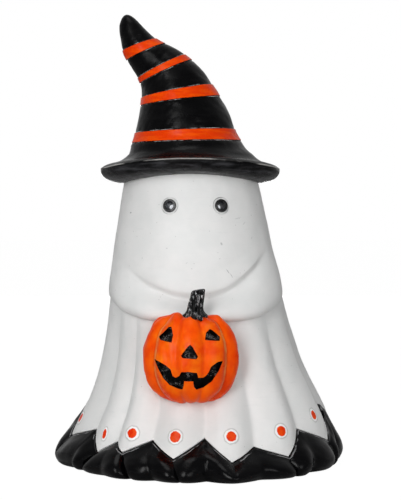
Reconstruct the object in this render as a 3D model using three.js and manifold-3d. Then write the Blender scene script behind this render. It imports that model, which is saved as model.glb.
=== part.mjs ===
// Ghost figure in a witch hat, holding a jack-o'-lantern.
// Cast resin pieces round a battery box that lights the eyes.
// Millimetres, +Z up, front towards -Y, origin on the ground under the middle of the hem.
import * as THREE from 'three';
import { mergeVertices } from 'three/addons/utils/BufferGeometryUtils.js';
import Module from 'manifold-3d';

const wasm = await Module();
wasm.setup();

// Clearances
const GLUE_GAP = 0.4; // between two castings that are bonded
const FIT_GAP = 0.3; // between a piece and its seat
const SOCKET_GAP = 0.6; // between the head and the inside of the hat

// Robe casting. Each row: height, half width, sideways place of the centre
const ROBE_PROFILE = [
  [0, 92, 0],
  [14, 88, 1],
  [28, 83.8, 2],
  [45, 76.3, 2.6],
  [70, 66.8, 0.5],
  [105, 59.8, -2.2],
  [145, 54.3, -5],
  [190, 45.8, -6.3],
];
const DEPTH_RATIO = 0.92; // front to back size over side to side size
const CROWN_HEIGHT = 36; // rounded top of the head above the last row of the profile
const ROBE_WALL = 4;

// Folds of the robe. Each row: height, depth of the folds as a share of the half width
const FOLD_DEPTH = [
  [0, 0.036],
  [30, 0.036],
  [50, 0.033],
  [75, 0.025],
  [98, 0.01],
  [120, 0],
];
// Zigzag hem. Each row: azimuth of a point in degrees, its height, azimuth and height of the notch after it
const HEM_POINTS = [
  [-79, 19, -59.5, 26.5],
  [-50.5, 13.5, -41.5, 21.5],
  [-34.5, 16, -23, 24],
  [-11.5, 14, 0.5, 26],
  [12, 11.8, 23, 20],
  [37.5, 13, 48.5, 28.5],
  [68, 18, 77.5, 41],
  [96.5, 18, 110, 29],
  [123.5, 14, 137, 25],
  [150.5, 13, 163.5, 24],
  [177, 12, 190.5, 25],
  [204, 14, 217, 26],
  [230.5, 15, 244, 27],
  [257.5, 18, 271, 38.5],
];
const RIDGES = [1, 0.1, 1, 1, 1.1, 1, 1, 1, 1, 1, 1, 1, 1, 1]; // how far the fold over each point stands out
const COLUMNS_PER_HALF_FOLD = 3;

// Sleeves: two arms of cloth that meet in front of the chest
const SLEEVE_TOP = 115.8; // level from which the upper crease rises
const SLEEVE_TOP_RISE_LEFT = 28; // how much higher that crease is at the left side
const SLEEVE_TOP_RISE_RIGHT = 37.5;
const SLEEVE_MIDDLE = [-0.5, 0.5]; // sines of the azimuths between which the left sleeve turns into the right
const SLEEVE_BOTTOM = 98.5;
const SLEEVE_BOTTOM_RISE = 15;
const SLEEVE_SWELL_FRONT = 9; // how far the sleeves stand out in front
const SLEEVE_SWELL_SIDE = 0.5;
const SLEEVE_ROLL_FALL = 1.6; // how fast the roll of cloth thins out towards its upper crease
const SLEEVE_ROLL_FULLNESS = 3.165; // brings the fullest part of the roll to 1
const SLEEVE_FADE = [-0.55, 0.1]; // cosines of the azimuths between which the sleeves die away behind

// Black underskirt casting
const HEM_STEP = 1; // how far the robe stands proud of the underskirt along the zigzag
const LOBE_BULGE = 14.6;
const CREASE_BULGES = [11, 2, 3, 9, 14, 6, 3, 5, 8, 12, 6, 9, 12, 5]; // at the crease below each point of the hem
const CREASE_LEANS = [-3, -7, 6, 4, 0, 3, 2, -3, 4, 2, -4, 3, -2, 2]; // degrees round to the right on the way down
const LOBE_ROUNDING = 0.66; // share of a half wave that a lobe follows from the hem to the ground
const LOBE_FULLNESS = 0.5; // below 1 the lobes are blunter and their creases narrower
const RIM_LEDGE = 1.9; // how far the underskirt stands out right below the hem
const HIGH_RIM_LEDGE = 5; // the same where the hem is high
const HIGH_RIM = [29, 38]; // heights of the hem between which one ledge turns into the other
const FOOT_ROUNDING = 3; // how far the lobes draw in at the ground
const FOOT_SHARPNESS = 10;
const SPIGOT_HEIGHT = 39; // top of the ring that the robe is glued to
const SPIGOT_WALL = 3.5;
const SKIRT_RIM = 10.5; // from the nominal foot of the robe in to the plate
const LEDGE_WIDTH = 9;
const LEDGE_THICKNESS = 5;

// Witch hat casting. Each row: height above the brim's underside, half width, share of the brim's rise
const BRIM_PROFILE = [
  [0, 48.5, 1],
  [1.1, 53.5, 1],
  [3.6, 58.4, 1],
  [7.9, 60.9, 0.95],
  [11.2, 59, 0.85],
  [13.2, 54.6, 0.7],
  [14.6, 49.2, 0.5],
  [16.8, 45.3, 0.35],
  [19.8, 42, 0.2],
];
const BRIM_DROP = 0.4; // its underside at the sides below the level where the head rounds off
const BRIM_RISE = 6; // how much higher the brim is in front and at the back
const BRIM_CENTRE_X = -6.8;
const HAT_DEPTH_RATIO = 0.95;
// Each row: distance up the crown, centre x, centre height, radius, lean in degrees
const CROWN_STATIONS = [
  [0, -9.2, 215.5, 38.2, 1],
  [6, -10.3, 221.4, 35, 1.8],
  [19, -11.4, 234.4, 31.4, 3.5],
  [34, -14.9, 249.2, 25.7, 8.5],
  [45, -19, 259, 22.2, 17],
  [56, -25.2, 267.6, 18.5, 26],
  [67, -32.4, 275, 15.9, 26],
  [77, -39.6, 281.4, 13.1, 22],
  [88, -45.4, 291, 9.4, 13],
  [95, -48.2, 297.4, 7.1, 5],
  [99.2, -49.2, 301.4, 4.6, 3],
  [101.2, -49.8, 303.3, 2.6, 0],
];
const HAT_TIP_HEIGHT = 304.3;
// Each row: distances up the crown where a painted band begins and ends
const HAT_BANDS = [
  [2.5, 9.5],
  [30.4, 37.2],
  [53.4, 58],
  [73.6, 80],
];
const BAND_RELIEF = 0.5;
const BAND_CLEARANCE = 2; // nearest plain ring to a band
const HAT_COLUMNS = 32;

// Pumpkin casting
const PUMPKIN_HALF_WIDTH = 31.8;
const PUMPKIN_HALF_DEPTH = 27;
const PUMPKIN_HALF_HEIGHT = 30.6;
const PUMPKIN_X = -6.4;
const PUMPKIN_HEIGHT = 76.8; // of its centre
const PUMPKIN_PROUD = 33; // from the robe out to the pumpkin's face
const PUMPKIN_RIBS = 10;
const PUMPKIN_RIB_DEPTH = 0.085;
const PUMPKIN_FULLNESS = 0.75; // below 1 the shoulders fill out
const PUMPKIN_COLUMNS = 60;
const PUMPKIN_ROWS = 13;
const DIMPLE_DEPTH = 5.5;
const DIMPLE_RADIUS = 13;
const FOOT_DIMPLE_DEPTH = 2.5;
const CARVING_DEPTH = 1.8;
const PUMPKIN_PEG_RADIUS = 4;
const PUMPKIN_PEG_REACH = 6; // from the robe's outside inwards

// Carved face: outlines sideways and upwards from the pumpkin's centre
const CARVED_FACE = [
  [[-12.1, 21.3], [-13.6, 20.9], [-19.6, 15], [-18.9, 13.2], [-11.9, 11.8], [-11, 16.4]],
  [[12.3, 19.8], [14, 18.9], [18.5, 15], [18.4, 12.7], [9.4, 13.4], [10.2, 17.8]],
  [[0, 10.3], [-1.1, 9.6], [-5.6, 3.8], [-4.8, 2.5], [3.7, 1.8], [4.7, 3.1], [1.4, 9.2]],
  [
    [-22.5, 0.6], [-19.9, -5.1], [-17, -10.6], [-12.9, -15], [-7.6, -17.6], [-5, -17.8],
    [-4.3, -15.2], [-4, -12.2], [2, -12.3], [2.4, -16], [3.9, -17.8], [8.1, -16.6],
    [13.3, -12.7], [18, -5.7], [20.2, -0.2], [17.5, -0.6], [13.3, -3.3], [11.6, -7.2],
    [9.7, -9.4], [8, -10.6], [4.9, -10.4], [4.1, -7.3], [-1.4, -6.5], [-5.5, -6.7],
    [-6.8, -9.2], [-9.2, -10.6], [-11.3, -9.3], [-12.4, -5.3], [-15.5, -2.6], [-19.7, -0.5],
  ],
];

// Pumpkin stem casting
const STEM_LENGTH = 21;
const STEM_OFFSET_X = 2.4; // its foot from the pumpkin's centre
const STEM_SINK = 2; // its foot below the middle of the dimple
const STEM_LEAN_X = 2.7; // how far its top leans to the side
const STEM_LEAN_Y = -2.4; // and to the front
const STEM_FORWARD = 7; // its foot in front of the pumpkin's centre
const STEM_SLANT = 0.16; // slope of the cut top
const STEM_RADIUS = 4.4;
const STEM_COLLAR_RADIUS = 7;
const STEM_RIDGES = 10;
const STEM_RIDGE_DEPTH = 0.1;
const STEM_COLUMNS = 60;
const STEM_PEG_RADIUS = 2.6;
const STEM_PEG_LENGTH = 7; // below its foot
const STEM_PEG_RISE = 7; // above its foot, inside the stem
// Each row: share of the way up the stem, share of the way out from its radius to the collar's
const STEM_FLARE = [
  [-0.05, 1],
  [0.2, 1],
  [0.28, 0.5],
  [0.38, 0.14],
  [0.58, 0],
  [0.82, -0.12],
  [1, -0.2],
];

// Light-emitting diodes of the eyes, and the clips that hold them
const EYE_DROP = 15.3; // below the brim's underside at the sides
const EYE_AZIMUTHS = { left: -17.1, right: 23.6 };
const EYE_RECESS_RADIUS = 5.6;
const EYE_RECESS_DEPTH = 0.6;
const CLIP_FLANGE_RADIUS = 4.4;
const CLIP_FLANGE_THICKNESS = 1.3;
const CLIP_BARREL_RADIUS = 3.6;
const CLIP_BARREL_LENGTH = 5;
const LED_RADIUS = 2.5;
const LED_LENGTH = 8.7;
const LED_RIM_RADIUS = 2.95;
const LED_RIM_THICKNESS = 1;
const LEAD_RADIUS = 0.3;
const LEAD_SPACING = 2.54;
const LEAD_LENGTH = 9;

// Base plate
const PLATE_BOTTOM = 4.2;
const PLATE_THICKNESS = 3;
const PLATE_SCREW_AZIMUTHS = [40, 140, 220, 320];

// Battery box
const CELL_COUNT = 3;
const CELL_RADIUS = 7.1;
const CELL_LENGTH = 50.5;
const CELL_PITCH = 15;
const CELL_EDGE = 0.6;
const CELL_NUB_RADIUS = 2.7;
const CELL_NUB_LENGTH = 1.2;
const CELL_CLEARANCE = 0.5;
const CONTACT_THICKNESS = 0.5;
const CONTACT_WIDTH = 10;
const CONTACT_HEIGHT = 11;
const SPRING_ROOM = 5.2;
const SPRING_TURNS = 3;
const SPRING_WIRE_RADIUS = 0.35;
const SPRING_FOOT_RADIUS = 4.5;
const SPRING_HEAD_RADIUS = 2.9;
const TAB_WIDTH = 3;
const TAB_REACH = 2; // above the roof of the box
const BOX_WALL = 1.8;
const CONTROL_LENGTH = 22;
const CONTROL_WALL_TOP = 16;
const CONTROL_FLOOR = 4.4; // thickness of the floor under the circuit board
const FLANGE_WIDTH = 7;
const FLANGE_THICKNESS = 2.4;

// Battery door
const DOOR_THICKNESS = 2.1;
const DOOR_LAP = 1; // over the rim of the battery bay
const DOOR_GAP = 0.4;
const DOOR_TONGUE_WIDTH = 13;
const DOOR_TONGUE_LENGTH = 7.4;
const DOOR_GRIP_COUNT = 3;
const DOOR_GRIP_PITCH = 2.4;
const DOOR_GRIP_WIDTH = 1;
const DOOR_GRIP_DEPTH = 0.5;
const HINGE_PIN_RADIUS = 0.5;
const HINGE_PIN_LENGTH = 1.6;
const HINGE_PIN_ROOT = 1; // inside the door

// Screws
const SCREW_SHANK_RADIUS = 1.25;
const SCREW_HEAD_RADIUS = 2.9;
const SCREW_HEAD_THICKNESS = 1.2;
const PLATE_SCREW_LENGTH = 8; // under the head
const BOX_SCREW_LENGTH = 6.5;
const DOOR_SCREW_LENGTH = 6.8;
const DOOR_SCREW_CLEARANCE = 0.65; // lets the screw tilt out of its hole with the door
const BOSS_WALL = 1.4;
const POST_ROOT = 1; // how far a post reaches into the floor it stands on
const SCREW_FACE_SHARE = 0.7; // flat of a screw's head over its radius
const CROSS_LENGTH_SHARE = 0.55; // half length of the cross in the head, likewise
const CROSS_WIDTH_SHARE = 0.13;
const BOARD_SCREW_SHANK_RADIUS = 1;
const BOARD_SCREW_HEAD_RADIUS = 2.1;
const BOARD_SCREW_LENGTH = 5;

// Circuit board and switch
const BOARD_THICKNESS = 1.6;
const BOARD_MARGIN = 1; // to the walls round it
const BOARD_POST_HEIGHT = 4.3;
const BOARD_POST_RADIUS = 2.5;
const BOARD_POST_Y = 19;
const SWITCH_LENGTH = 14;
const SWITCH_WIDTH = 6.4;
const SWITCH_WALL = 0.7;
const SWITCH_Y = -9;
const SWITCH_INSET = 5; // from the end wall of the box to the middle of the switch
const KNOB_LENGTH = 3;
const KNOB_WIDTH = 2.6;
const KNOB_TRAVEL = 2; // each way from the middle
const KNOB_FOOT_LENGTH = 5.2;
const KNOB_FOOT_THICKNESS = 1.4;
const KNOB_REACH = 0.9; // below the flange
const RESISTOR_RADIUS = 1.2;
const RESISTOR_LENGTH = 6.4;
const RESISTOR_LIFT = 0.5; // above the board
const RESISTOR_LEAD_RADIUS = 0.3;
const RESISTOR_SPAN = 10;
const RESISTOR_Y = [6, 10];

// Wires. The points of a route are chosen by hand: x, y, height
const WIRE_RADIUS = 0.7;
const WIRE_SIDES = 5;
const WIRE_STEP = 8;
const WIRE_LANE = 2.3; // between neighbouring wires of the harness
const WIRE_STRAIGHT = 3; // square end at each joint
const HARNESS_ROUTE = [
  [4, -31, 132],
  [10, -34, 100],
  [18, -32, 66],
  [24, -22, 40],
  [25, -13, 26],
];
const BATTERY_LEAD_ROUTES = {
  red: [[-37.5, -13, 29.5], [-28, -7, 30.5], [-6, 4, 29], [14, 10, 28], [24, 13, 22]],
  black: [[18.5, 15, 27.5], [23, 16.5, 26.5], [26, 17, 20]],
};

// Colour and finish of each kind of piece
const FINISHES = {
  whiteResin: { color: 0xe9e8e4, roughness: 0.55, metalness: 0 },
  blackResin: { color: 0x0b0b0d, roughness: 0.3, metalness: 0 },
  orangeResin: { color: 0xf4560c, roughness: 0.35, metalness: 0 },
  clearEpoxy: { color: 0xb9bec4, roughness: 0.08, metalness: 0 },
  blackPlastic: { color: 0x17171a, roughness: 0.5, metalness: 0 },
  tinnedSteel: { color: 0xc4c6c8, roughness: 0.3, metalness: 1 },
  zincScrew: { color: 0xb4b6b4, roughness: 0.35, metalness: 1 },
  cellWrap: { color: 0x7c8288, roughness: 0.4, metalness: 0.3 },
  boardGreen: { color: 0x1d5b34, roughness: 0.45, metalness: 0 },
  tanCeramic: { color: 0xc9a878, roughness: 0.5, metalness: 0 },
  redWire: { color: 0xb01818, roughness: 0.45, metalness: 0 },
  blackWire: { color: 0x141416, roughness: 0.45, metalness: 0 },
};

const { degToRad, lerp, clamp, smoothstep } = THREE.MathUtils;
const UP = new THREE.Vector3(0, 0, 1);
const ghost = new THREE.Group();

function place(name, shape, finish, parent = ghost) {
  const mesh = new THREE.Mesh(shape, new THREE.MeshStandardMaterial(FINISHES[finish]));
  mesh.name = name;
  parent.add(mesh);
  return mesh;
}

// Solid made from a closed geometry, ready to be joined or cut
function solid(geometry) {
  const bare = new THREE.BufferGeometry();
  bare.setAttribute('position', geometry.getAttribute('position'));
  if (geometry.index) bare.setIndex(geometry.index);
  const merged = mergeVertices(bare, 1e-4);
  const vertProperties = new Float32Array(merged.attributes.position.array);
  const triVerts = new Uint32Array(merged.index.array);
  return new wasm.Manifold(new wasm.Mesh({ numProp: 3, vertProperties, triVerts }));
}

function geometryOf(manifold) {
  const mesh = manifold.getMesh();
  const geometry = new THREE.BufferGeometry();
  geometry.setAttribute('position', new THREE.BufferAttribute(new Float32Array(mesh.vertProperties), 3));
  geometry.setIndex(new THREE.BufferAttribute(new Uint32Array(mesh.triVerts), 1));
  const flat = geometry.toNonIndexed();
  flat.computeVertexNormals();
  return flat;
}

const joined = (...bodies) => bodies.reduce((sum, body) => sum.add(body));

const cut = (body, ...tools) => tools.reduce((rest, tool) => rest.subtract(tool), body);

// Block between its lowest and its highest corner
function block(low, high) {
  const size = high.map((value, axis) => value - low[axis]);
  const middle = high.map((value, axis) => (value + low[axis]) / 2);
  return solid(new THREE.BoxGeometry(...size).translate(...middle));
}

// Round bar that starts at a point and runs along an axis
function bar(radius, start, length, axis = 'z', sides = 12) {
  const shape = new THREE.CylinderGeometry(radius, radius, length, sides).translate(0, length / 2, 0);
  if (axis === 'z') shape.rotateX(Math.PI / 2);
  if (axis === 'x') shape.rotateZ(-Math.PI / 2);
  return solid(shape.translate(...start));
}

// Turned shape about Z: pairs of radius and height, anticlockwise from the axis round to the axis
function turned(pairs, sides = 16) {
  const profile = pairs.map(([radius, height]) => new THREE.Vector2(radius, height));
  return new THREE.LatheGeometry(profile, sides).rotateX(Math.PI / 2);
}

// Smooth value of one column of a table whose first column rises
function along(table, column, at) {
  const last = table.length - 1;
  const spot = clamp(at, table[0][0], table[last][0]);
  let row = 0;
  while (row < last - 1 && table[row + 1][0] < spot) row += 1;
  const slope = (i) => {
    const before = table[Math.max(i - 1, 0)];
    const after = table[Math.min(i + 1, last)];
    return (after[column] - before[column]) / (after[0] - before[0]);
  };
  const span = table[row + 1][0] - table[row][0];
  const t = (spot - table[row][0]) / span;
  const straight = t * t * (3 - 2 * t) * (table[row + 1][column] - table[row][column]);
  const leaving = t * (1 - t) * (1 - t) * span * slope(row);
  const arriving = t * t * (t - 1) * span * slope(row + 1);
  return table[row][column] + straight + leaving + arriving;
}

// Closed skin over rings of points, each with as many points as the others or one where the skin closes.
// Rings run anticlockwise from above, up the outside and down the inside.
// A looped skin closes on its first ring.
function skin(rings, looped = false) {
  const positions = [];
  const starts = rings.map((ring) => {
    const start = positions.length / 3;
    ring.forEach((point) => positions.push(point.x, point.y, point.z));
    return start;
  });
  const heights = rings.map((ring) => ring.reduce((sum, point) => sum + point.z, 0) / ring.length);
  const count = Math.max(...rings.map((ring) => ring.length));
  const pairs = looped ? rings.length : rings.length - 1;
  const faces = [];
  for (let row = 0; row < pairs; row += 1) {
    const next = (row + 1) % rings.length;
    for (let i = 0; i < count; i += 1) {
      const j = (i + 1) % count;
      const [a, b] = [starts[row] + i, starts[row] + j];
      const [c, d] = [starts[next] + j, starts[next] + i];
      if (rings[row].length === 1) faces.push(starts[row], c, d);
      else if (rings[next].length === 1) faces.push(a, b, starts[next]);
      else if (heights[next] >= heights[row]) faces.push(a, b, c, a, c, d);
      else faces.push(a, b, d, b, c, d);
    }
  }
  const geometry = new THREE.BufferGeometry();
  geometry.setAttribute('position', new THREE.BufferAttribute(new Float32Array(positions), 3));
  geometry.setIndex(faces);
  return geometry;
}

// Tube of a few sides along a path, closed at both ends
function tube(curve, radius, steps, sides) {
  const section = new THREE.Shape();
  for (let i = 0; i < sides; i += 1) {
    const angle = (2 * Math.PI * i) / sides;
    const [x, y] = [radius * Math.cos(angle), radius * Math.sin(angle)];
    if (i === 0) section.moveTo(x, y);
    else section.lineTo(x, y);
  }
  return new THREE.ExtrudeGeometry(section, { steps, extrudePath: curve });
}

// Robe

const headBase = ROBE_PROFILE[ROBE_PROFILE.length - 1][0];
const headTop = headBase + CROWN_HEIGHT;
const brimUnderside = headBase - BRIM_DROP;

// Half width of the robe or the head at a height, grown or shrunk by an offset
function halfWidth(height, offset = 0) {
  if (height <= headBase) return along(ROBE_PROFILE, 1, height) + offset;
  const share = Math.min((height - headBase) / (CROWN_HEIGHT + offset), 1);
  return (along(ROBE_PROFILE, 1, headBase) + offset) * Math.sqrt(1 - share * share);
}

const centreX = (height) => along(ROBE_PROFILE, 2, height);
const foldDepth = (height) => along(FOLD_DEPTH, 1, height);

// Columns of the robe and the underskirt: azimuth, number of the fold, place within it, height of the hem
function hemColumns() {
  return HEM_POINTS.flatMap(([azimuth, height, notchAzimuth, notchHeight], fold) => {
    const next = HEM_POINTS[(fold + 1) % HEM_POINTS.length];
    const nextAzimuth = azimuth + ((next[0] - azimuth + 360) % 360);
    const steps = Array.from({ length: COLUMNS_PER_HALF_FOLD }, (_, i) => i / COLUMNS_PER_HALF_FOLD);
    const toNotch = steps.map((t) => ({
      azimuth: degToRad(lerp(azimuth, notchAzimuth, t)),
      fold,
      share: t / 2,
      hem: lerp(height, notchHeight, t),
    }));
    const toPoint = steps.map((t) => ({
      azimuth: degToRad(lerp(notchAzimuth, nextAzimuth, t)),
      fold,
      share: (1 + t) / 2,
      hem: lerp(notchHeight, next[1], t),
    }));
    return [...toNotch, ...toPoint];
  });
}

const columns = hemColumns();

// Rounded ridges at the points of the hem, narrow valleys at its notches
function foldShape(fold, share) {
  const ridge = RIDGES[share < 0.5 ? fold : (fold + 1) % RIDGES.length];
  return (1 + ridge) * Math.abs(Math.cos(Math.PI * share)) - 1;
}

function sleeveEdges(azimuth) {
  const side = Math.sin(azimuth);
  const rise = lerp(SLEEVE_TOP_RISE_LEFT, SLEEVE_TOP_RISE_RIGHT, smoothstep(side, ...SLEEVE_MIDDLE));
  return [SLEEVE_BOTTOM + SLEEVE_BOTTOM_RISE * side ** 4, SLEEVE_TOP + rise * side ** 2];
}

// Roll of cloth: fullest a quarter of the way up, tucked under at its lower edge
function sleeveSwell(azimuth, height) {
  const [bottom, top] = sleeveEdges(azimuth);
  const t = (height - bottom) / (top - bottom);
  if (t <= 0 || t >= 1) return 0;
  const roll = SLEEVE_ROLL_FULLNESS * Math.sqrt(t) * (1 - t) ** SLEEVE_ROLL_FALL;
  const fade = smoothstep(Math.cos(azimuth), ...SLEEVE_FADE);
  const front = Math.max(Math.cos(azimuth), 0);
  return roll * fade * lerp(SLEEVE_SWELL_SIDE, SLEEVE_SWELL_FRONT, front);
}

function robePoint({ azimuth, fold: number, share }, height, offset = 0) {
  const half = halfWidth(height, offset);
  const fold = half * foldDepth(height) * foldShape(number, share) + sleeveSwell(azimuth, height);
  return new THREE.Vector3(
    centreX(height) + Math.sin(azimuth) * (half + fold),
    -Math.cos(azimuth) * (half * DEPTH_RATIO + fold),
    height,
  );
}

// Point of a smooth oval inside the robe, a distance in from the valleys of the folds
function insidePoint({ azimuth }, height, inset) {
  const half = halfWidth(height, -inset) * (1 - foldDepth(height));
  return new THREE.Vector3(
    centreX(height) + Math.sin(azimuth) * half,
    -Math.cos(azimuth) * half * DEPTH_RATIO,
    height,
  );
}

// Shares of the way up each zone of the robe's outside
const SKIRT_STEPS = [0, 0.12, 0.32, 0.62];
const SLEEVE_STEPS = [0, 0.04, 0.15, 0.35, 0.62, 1];
const CHEST_STEPS = [0.45, 1];
const CROWN_STEPS = [0.35, 0.68, 0.9];
const INNER_HEIGHTS = [130, 75];
const INNER_LIP = 2; // of upright wall inside the hem where it rises past the spigot

function robeRings(offset, around = columns) {
  const ring = (heightOf) => around.map((column) => robePoint(column, heightOf(column), offset));
  return [
    ...SKIRT_STEPS.map((s) => ring((c) => lerp(c.hem, sleeveEdges(c.azimuth)[0], s))),
    ...SLEEVE_STEPS.map((s) => ring((c) => lerp(...sleeveEdges(c.azimuth), s))),
    ...CHEST_STEPS.map((s) => ring((c) => lerp(sleeveEdges(c.azimuth)[1], headBase, s))),
    ...CROWN_STEPS.map((s) => ring(() => headBase + (CROWN_HEIGHT + offset) * s)),
    [new THREE.Vector3(centreX(headBase), 0, headTop + offset)],
  ];
}

// The robe's outer form, filled and grown by an offset, for cutting what rests against it
function robeForm(offset) {
  const foot = new THREE.Vector3(centreX(0), 0, HEM_POINTS[0][1]);
  return solid(skin([[foot], ...robeRings(offset)]));
}

// The head alone from below the brim, likewise
function headForm(offset) {
  const around = columns.filter((_, index) => index % 2 === 0);
  const low = brimUnderside - CROWN_HEIGHT / 2;
  const foot = new THREE.Vector3(centreX(low), 0, low);
  const rings = [low, headBase].map((height) => around.map((column) => robePoint(column, height, offset)));
  const crown = robeRings(offset, around).slice(-CROWN_STEPS.length - 1);
  return solid(skin([[foot], ...rings, ...crown]));
}

function robeShell(...holes) {
  const innerRing = (heightOf) => columns.map((column) => insidePoint(column, heightOf(column), ROBE_WALL));
  const innerCrown = CROWN_STEPS.map((s) => innerRing(() => headBase + (CROWN_HEIGHT - ROBE_WALL) * s));
  const shell = skin([
    [new THREE.Vector3(centreX(headBase), 0, headTop - ROBE_WALL)],
    ...innerCrown.reverse(),
    ...[headBase, ...INNER_HEIGHTS, SPIGOT_HEIGHT].map((height) =>
      innerRing((column) => Math.max(height, column.hem + INNER_LIP)),
    ),
    innerRing((column) => column.hem),
    ...robeRings(0),
  ]);
  return geometryOf(cut(solid(shell), ...holes));
}

// Underskirt

const plateTop = PLATE_BOTTOM + PLATE_THICKNESS;
const ledgeBottom = plateTop + FIT_GAP;
const ledgeTop = ledgeBottom + LEDGE_THICKNESS;
const rebateHalfWidth = halfWidth(0) - SKIRT_RIM;
const LOBE_STEPS = [1, 0.92, 0.8, 0.6, 0.4, 0.2, 0.03, 0];

function ovalPoint({ azimuth }, half, height) {
  return new THREE.Vector3(Math.sin(azimuth) * half, -Math.cos(azimuth) * half * DEPTH_RATIO, height);
}

// Value of a column, between those of the creases on either side of it
function betweenCreases(values, { fold, share }) {
  return lerp(values[fold], values[(fold + 1) % values.length], smoothstep(share, 0, 1));
}

// A lobe of the underskirt hangs below each notch of the robe's hem
function lobePoint(column, drop) {
  const point = robePoint(column, column.hem, -HEM_STEP);
  const fullness = Math.sin(Math.PI * column.share) ** LOBE_FULLNESS;
  const bulge = lerp(betweenCreases(CREASE_BULGES, column), LOBE_BULGE, fullness);
  const ledge = drop > 0 ? lerp(RIM_LEDGE, HIGH_RIM_LEDGE, smoothstep(column.hem, ...HIGH_RIM)) * (1 - drop) : 0;
  const tuck = FOOT_ROUNDING * drop ** FOOT_SHARPNESS;
  const reach = bulge * Math.sin(Math.PI * LOBE_ROUNDING * drop) + ledge - tuck;
  point.x += Math.sin(column.azimuth) * reach - centreX(column.hem) * drop;
  point.y -= Math.cos(column.azimuth) * reach;
  point.z = lerp(column.hem - GLUE_GAP, 0, drop);
  return point.applyAxisAngle(UP, degToRad(betweenCreases(CREASE_LEANS, column)) * drop);
}

function hemSkirt(...holes) {
  const ring = (pointOf) => columns.map(pointOf);
  const spigot = ROBE_WALL + GLUE_GAP;
  const shell = skin(
    [
      ring((c) => ovalPoint(c, rebateHalfWidth, 0)),
      ...LOBE_STEPS.map((drop) => ring((c) => lobePoint(c, drop))),
      ring((c) => insidePoint(c, c.hem, spigot).setZ(c.hem - GLUE_GAP)),
      ring((c) => insidePoint(c, SPIGOT_HEIGHT, spigot)),
      ring((c) => insidePoint(c, SPIGOT_HEIGHT, spigot + SPIGOT_WALL)),
      ring((c) => ovalPoint(c, rebateHalfWidth - LEDGE_WIDTH, ledgeTop)),
      ring((c) => ovalPoint(c, rebateHalfWidth - LEDGE_WIDTH, ledgeBottom)),
      ring((c) => ovalPoint(c, rebateHalfWidth, ledgeBottom)),
    ],
    true,
  );
  return geometryOf(cut(solid(shell), ...holes));
}

// Hat

const hatAngles = Array.from({ length: HAT_COLUMNS }, (_, i) => (2 * Math.PI * i) / HAT_COLUMNS);

function brimRing([height, half, rise]) {
  return hatAngles.map(
    (angle) =>
      new THREE.Vector3(
        BRIM_CENTRE_X + Math.sin(angle) * half,
        -Math.cos(angle) * half * HAT_DEPTH_RATIO,
        brimUnderside + height + BRIM_RISE * rise * Math.cos(angle) ** 2,
      ),
  );
}

function crownRing([distance, relief]) {
  const [x, height, radius, lean] = [1, 2, 3, 4].map((column) => along(CROWN_STATIONS, column, distance));
  const across = radius + relief;
  return hatAngles.map(
    (angle) =>
      new THREE.Vector3(
        x + Math.sin(angle) * across * Math.cos(degToRad(lean)),
        -Math.cos(angle) * across * HAT_DEPTH_RATIO,
        height + Math.sin(angle) * across * Math.sin(degToRad(lean)),
      ),
  );
}

// Places up the crown with a ring, and how far it stands out there
function crownPlaces() {
  const plain = CROWN_STATIONS.map(([distance]) => [distance, 0]).filter(([distance]) =>
    HAT_BANDS.every(([start, end]) => distance < start - BAND_CLEARANCE || distance > end + BAND_CLEARANCE),
  );
  const bands = HAT_BANDS.flatMap(([start, end]) => [
    [start - BAND_RELIEF, 0],
    [start, BAND_RELIEF],
    [end, BAND_RELIEF],
    [end + BAND_RELIEF, 0],
  ]);
  return [...plain, ...bands].sort((first, second) => first[0] - second[0]);
}

function witchHat() {
  const top = CROWN_STATIONS[CROWN_STATIONS.length - 1];
  const form = skin([
    [new THREE.Vector3(BRIM_CENTRE_X, 0, brimUnderside)],
    ...BRIM_PROFILE.map(brimRing),
    ...crownPlaces().map(crownRing),
    [new THREE.Vector3(top[1], 0, HAT_TIP_HEIGHT)],
  ]);
  return geometryOf(cut(solid(form), headForm(SOCKET_GAP)));
}

// Pumpkin

const robeFront = -halfWidth(PUMPKIN_HEIGHT) * DEPTH_RATIO;
const pumpkinY = robeFront - PUMPKIN_PROUD + PUMPKIN_HALF_DEPTH;

function pumpkinPoint(angle, polar, offset) {
  const valley = 1 - Math.abs(Math.cos((PUMPKIN_RIBS / 2) * angle));
  const across = Math.cos(polar) ** PUMPKIN_FULLNESS * (1 - PUMPKIN_RIB_DEPTH * valley);
  const rise = Math.sin(polar) * (1 - (PUMPKIN_RIB_DEPTH / 2) * valley);
  const dimple = Math.exp(-(((across * PUMPKIN_HALF_WIDTH) / DIMPLE_RADIUS) ** 2));
  const sink = rise > 0 ? DIMPLE_DEPTH : -FOOT_DIMPLE_DEPTH;
  return new THREE.Vector3(
    PUMPKIN_X + Math.sin(angle) * across * (PUMPKIN_HALF_WIDTH + offset),
    pumpkinY - Math.cos(angle) * across * (PUMPKIN_HALF_DEPTH + offset),
    PUMPKIN_HEIGHT + rise * (PUMPKIN_HALF_HEIGHT + offset) - sink * dimple,
  );
}

function pumpkinForm(offset) {
  const turn = (2 * Math.PI) / PUMPKIN_COLUMNS;
  const ring = (polar, count) => Array.from({ length: count }, (_, i) => pumpkinPoint(turn * i, polar, offset));
  const rings = [ring(-Math.PI / 2, 1)];
  for (let row = 1; row < PUMPKIN_ROWS; row += 1) {
    rings.push(ring(Math.PI * (row / PUMPKIN_ROWS - 0.5), PUMPKIN_COLUMNS));
  }
  return solid(skin([...rings, ring(Math.PI / 2, 1)]));
}

// Prism over a carved outline, from in front of the pumpkin to its middle
function carving(outline) {
  const shape = new THREE.Shape(outline.map(([x, z]) => new THREE.Vector2(x, z)));
  const prism = new THREE.ExtrudeGeometry(shape, { depth: 2 * PUMPKIN_HALF_DEPTH, bevelEnabled: false });
  return solid(prism.rotateX(Math.PI / 2).translate(PUMPKIN_X, pumpkinY, PUMPKIN_HEIGHT));
}

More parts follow.
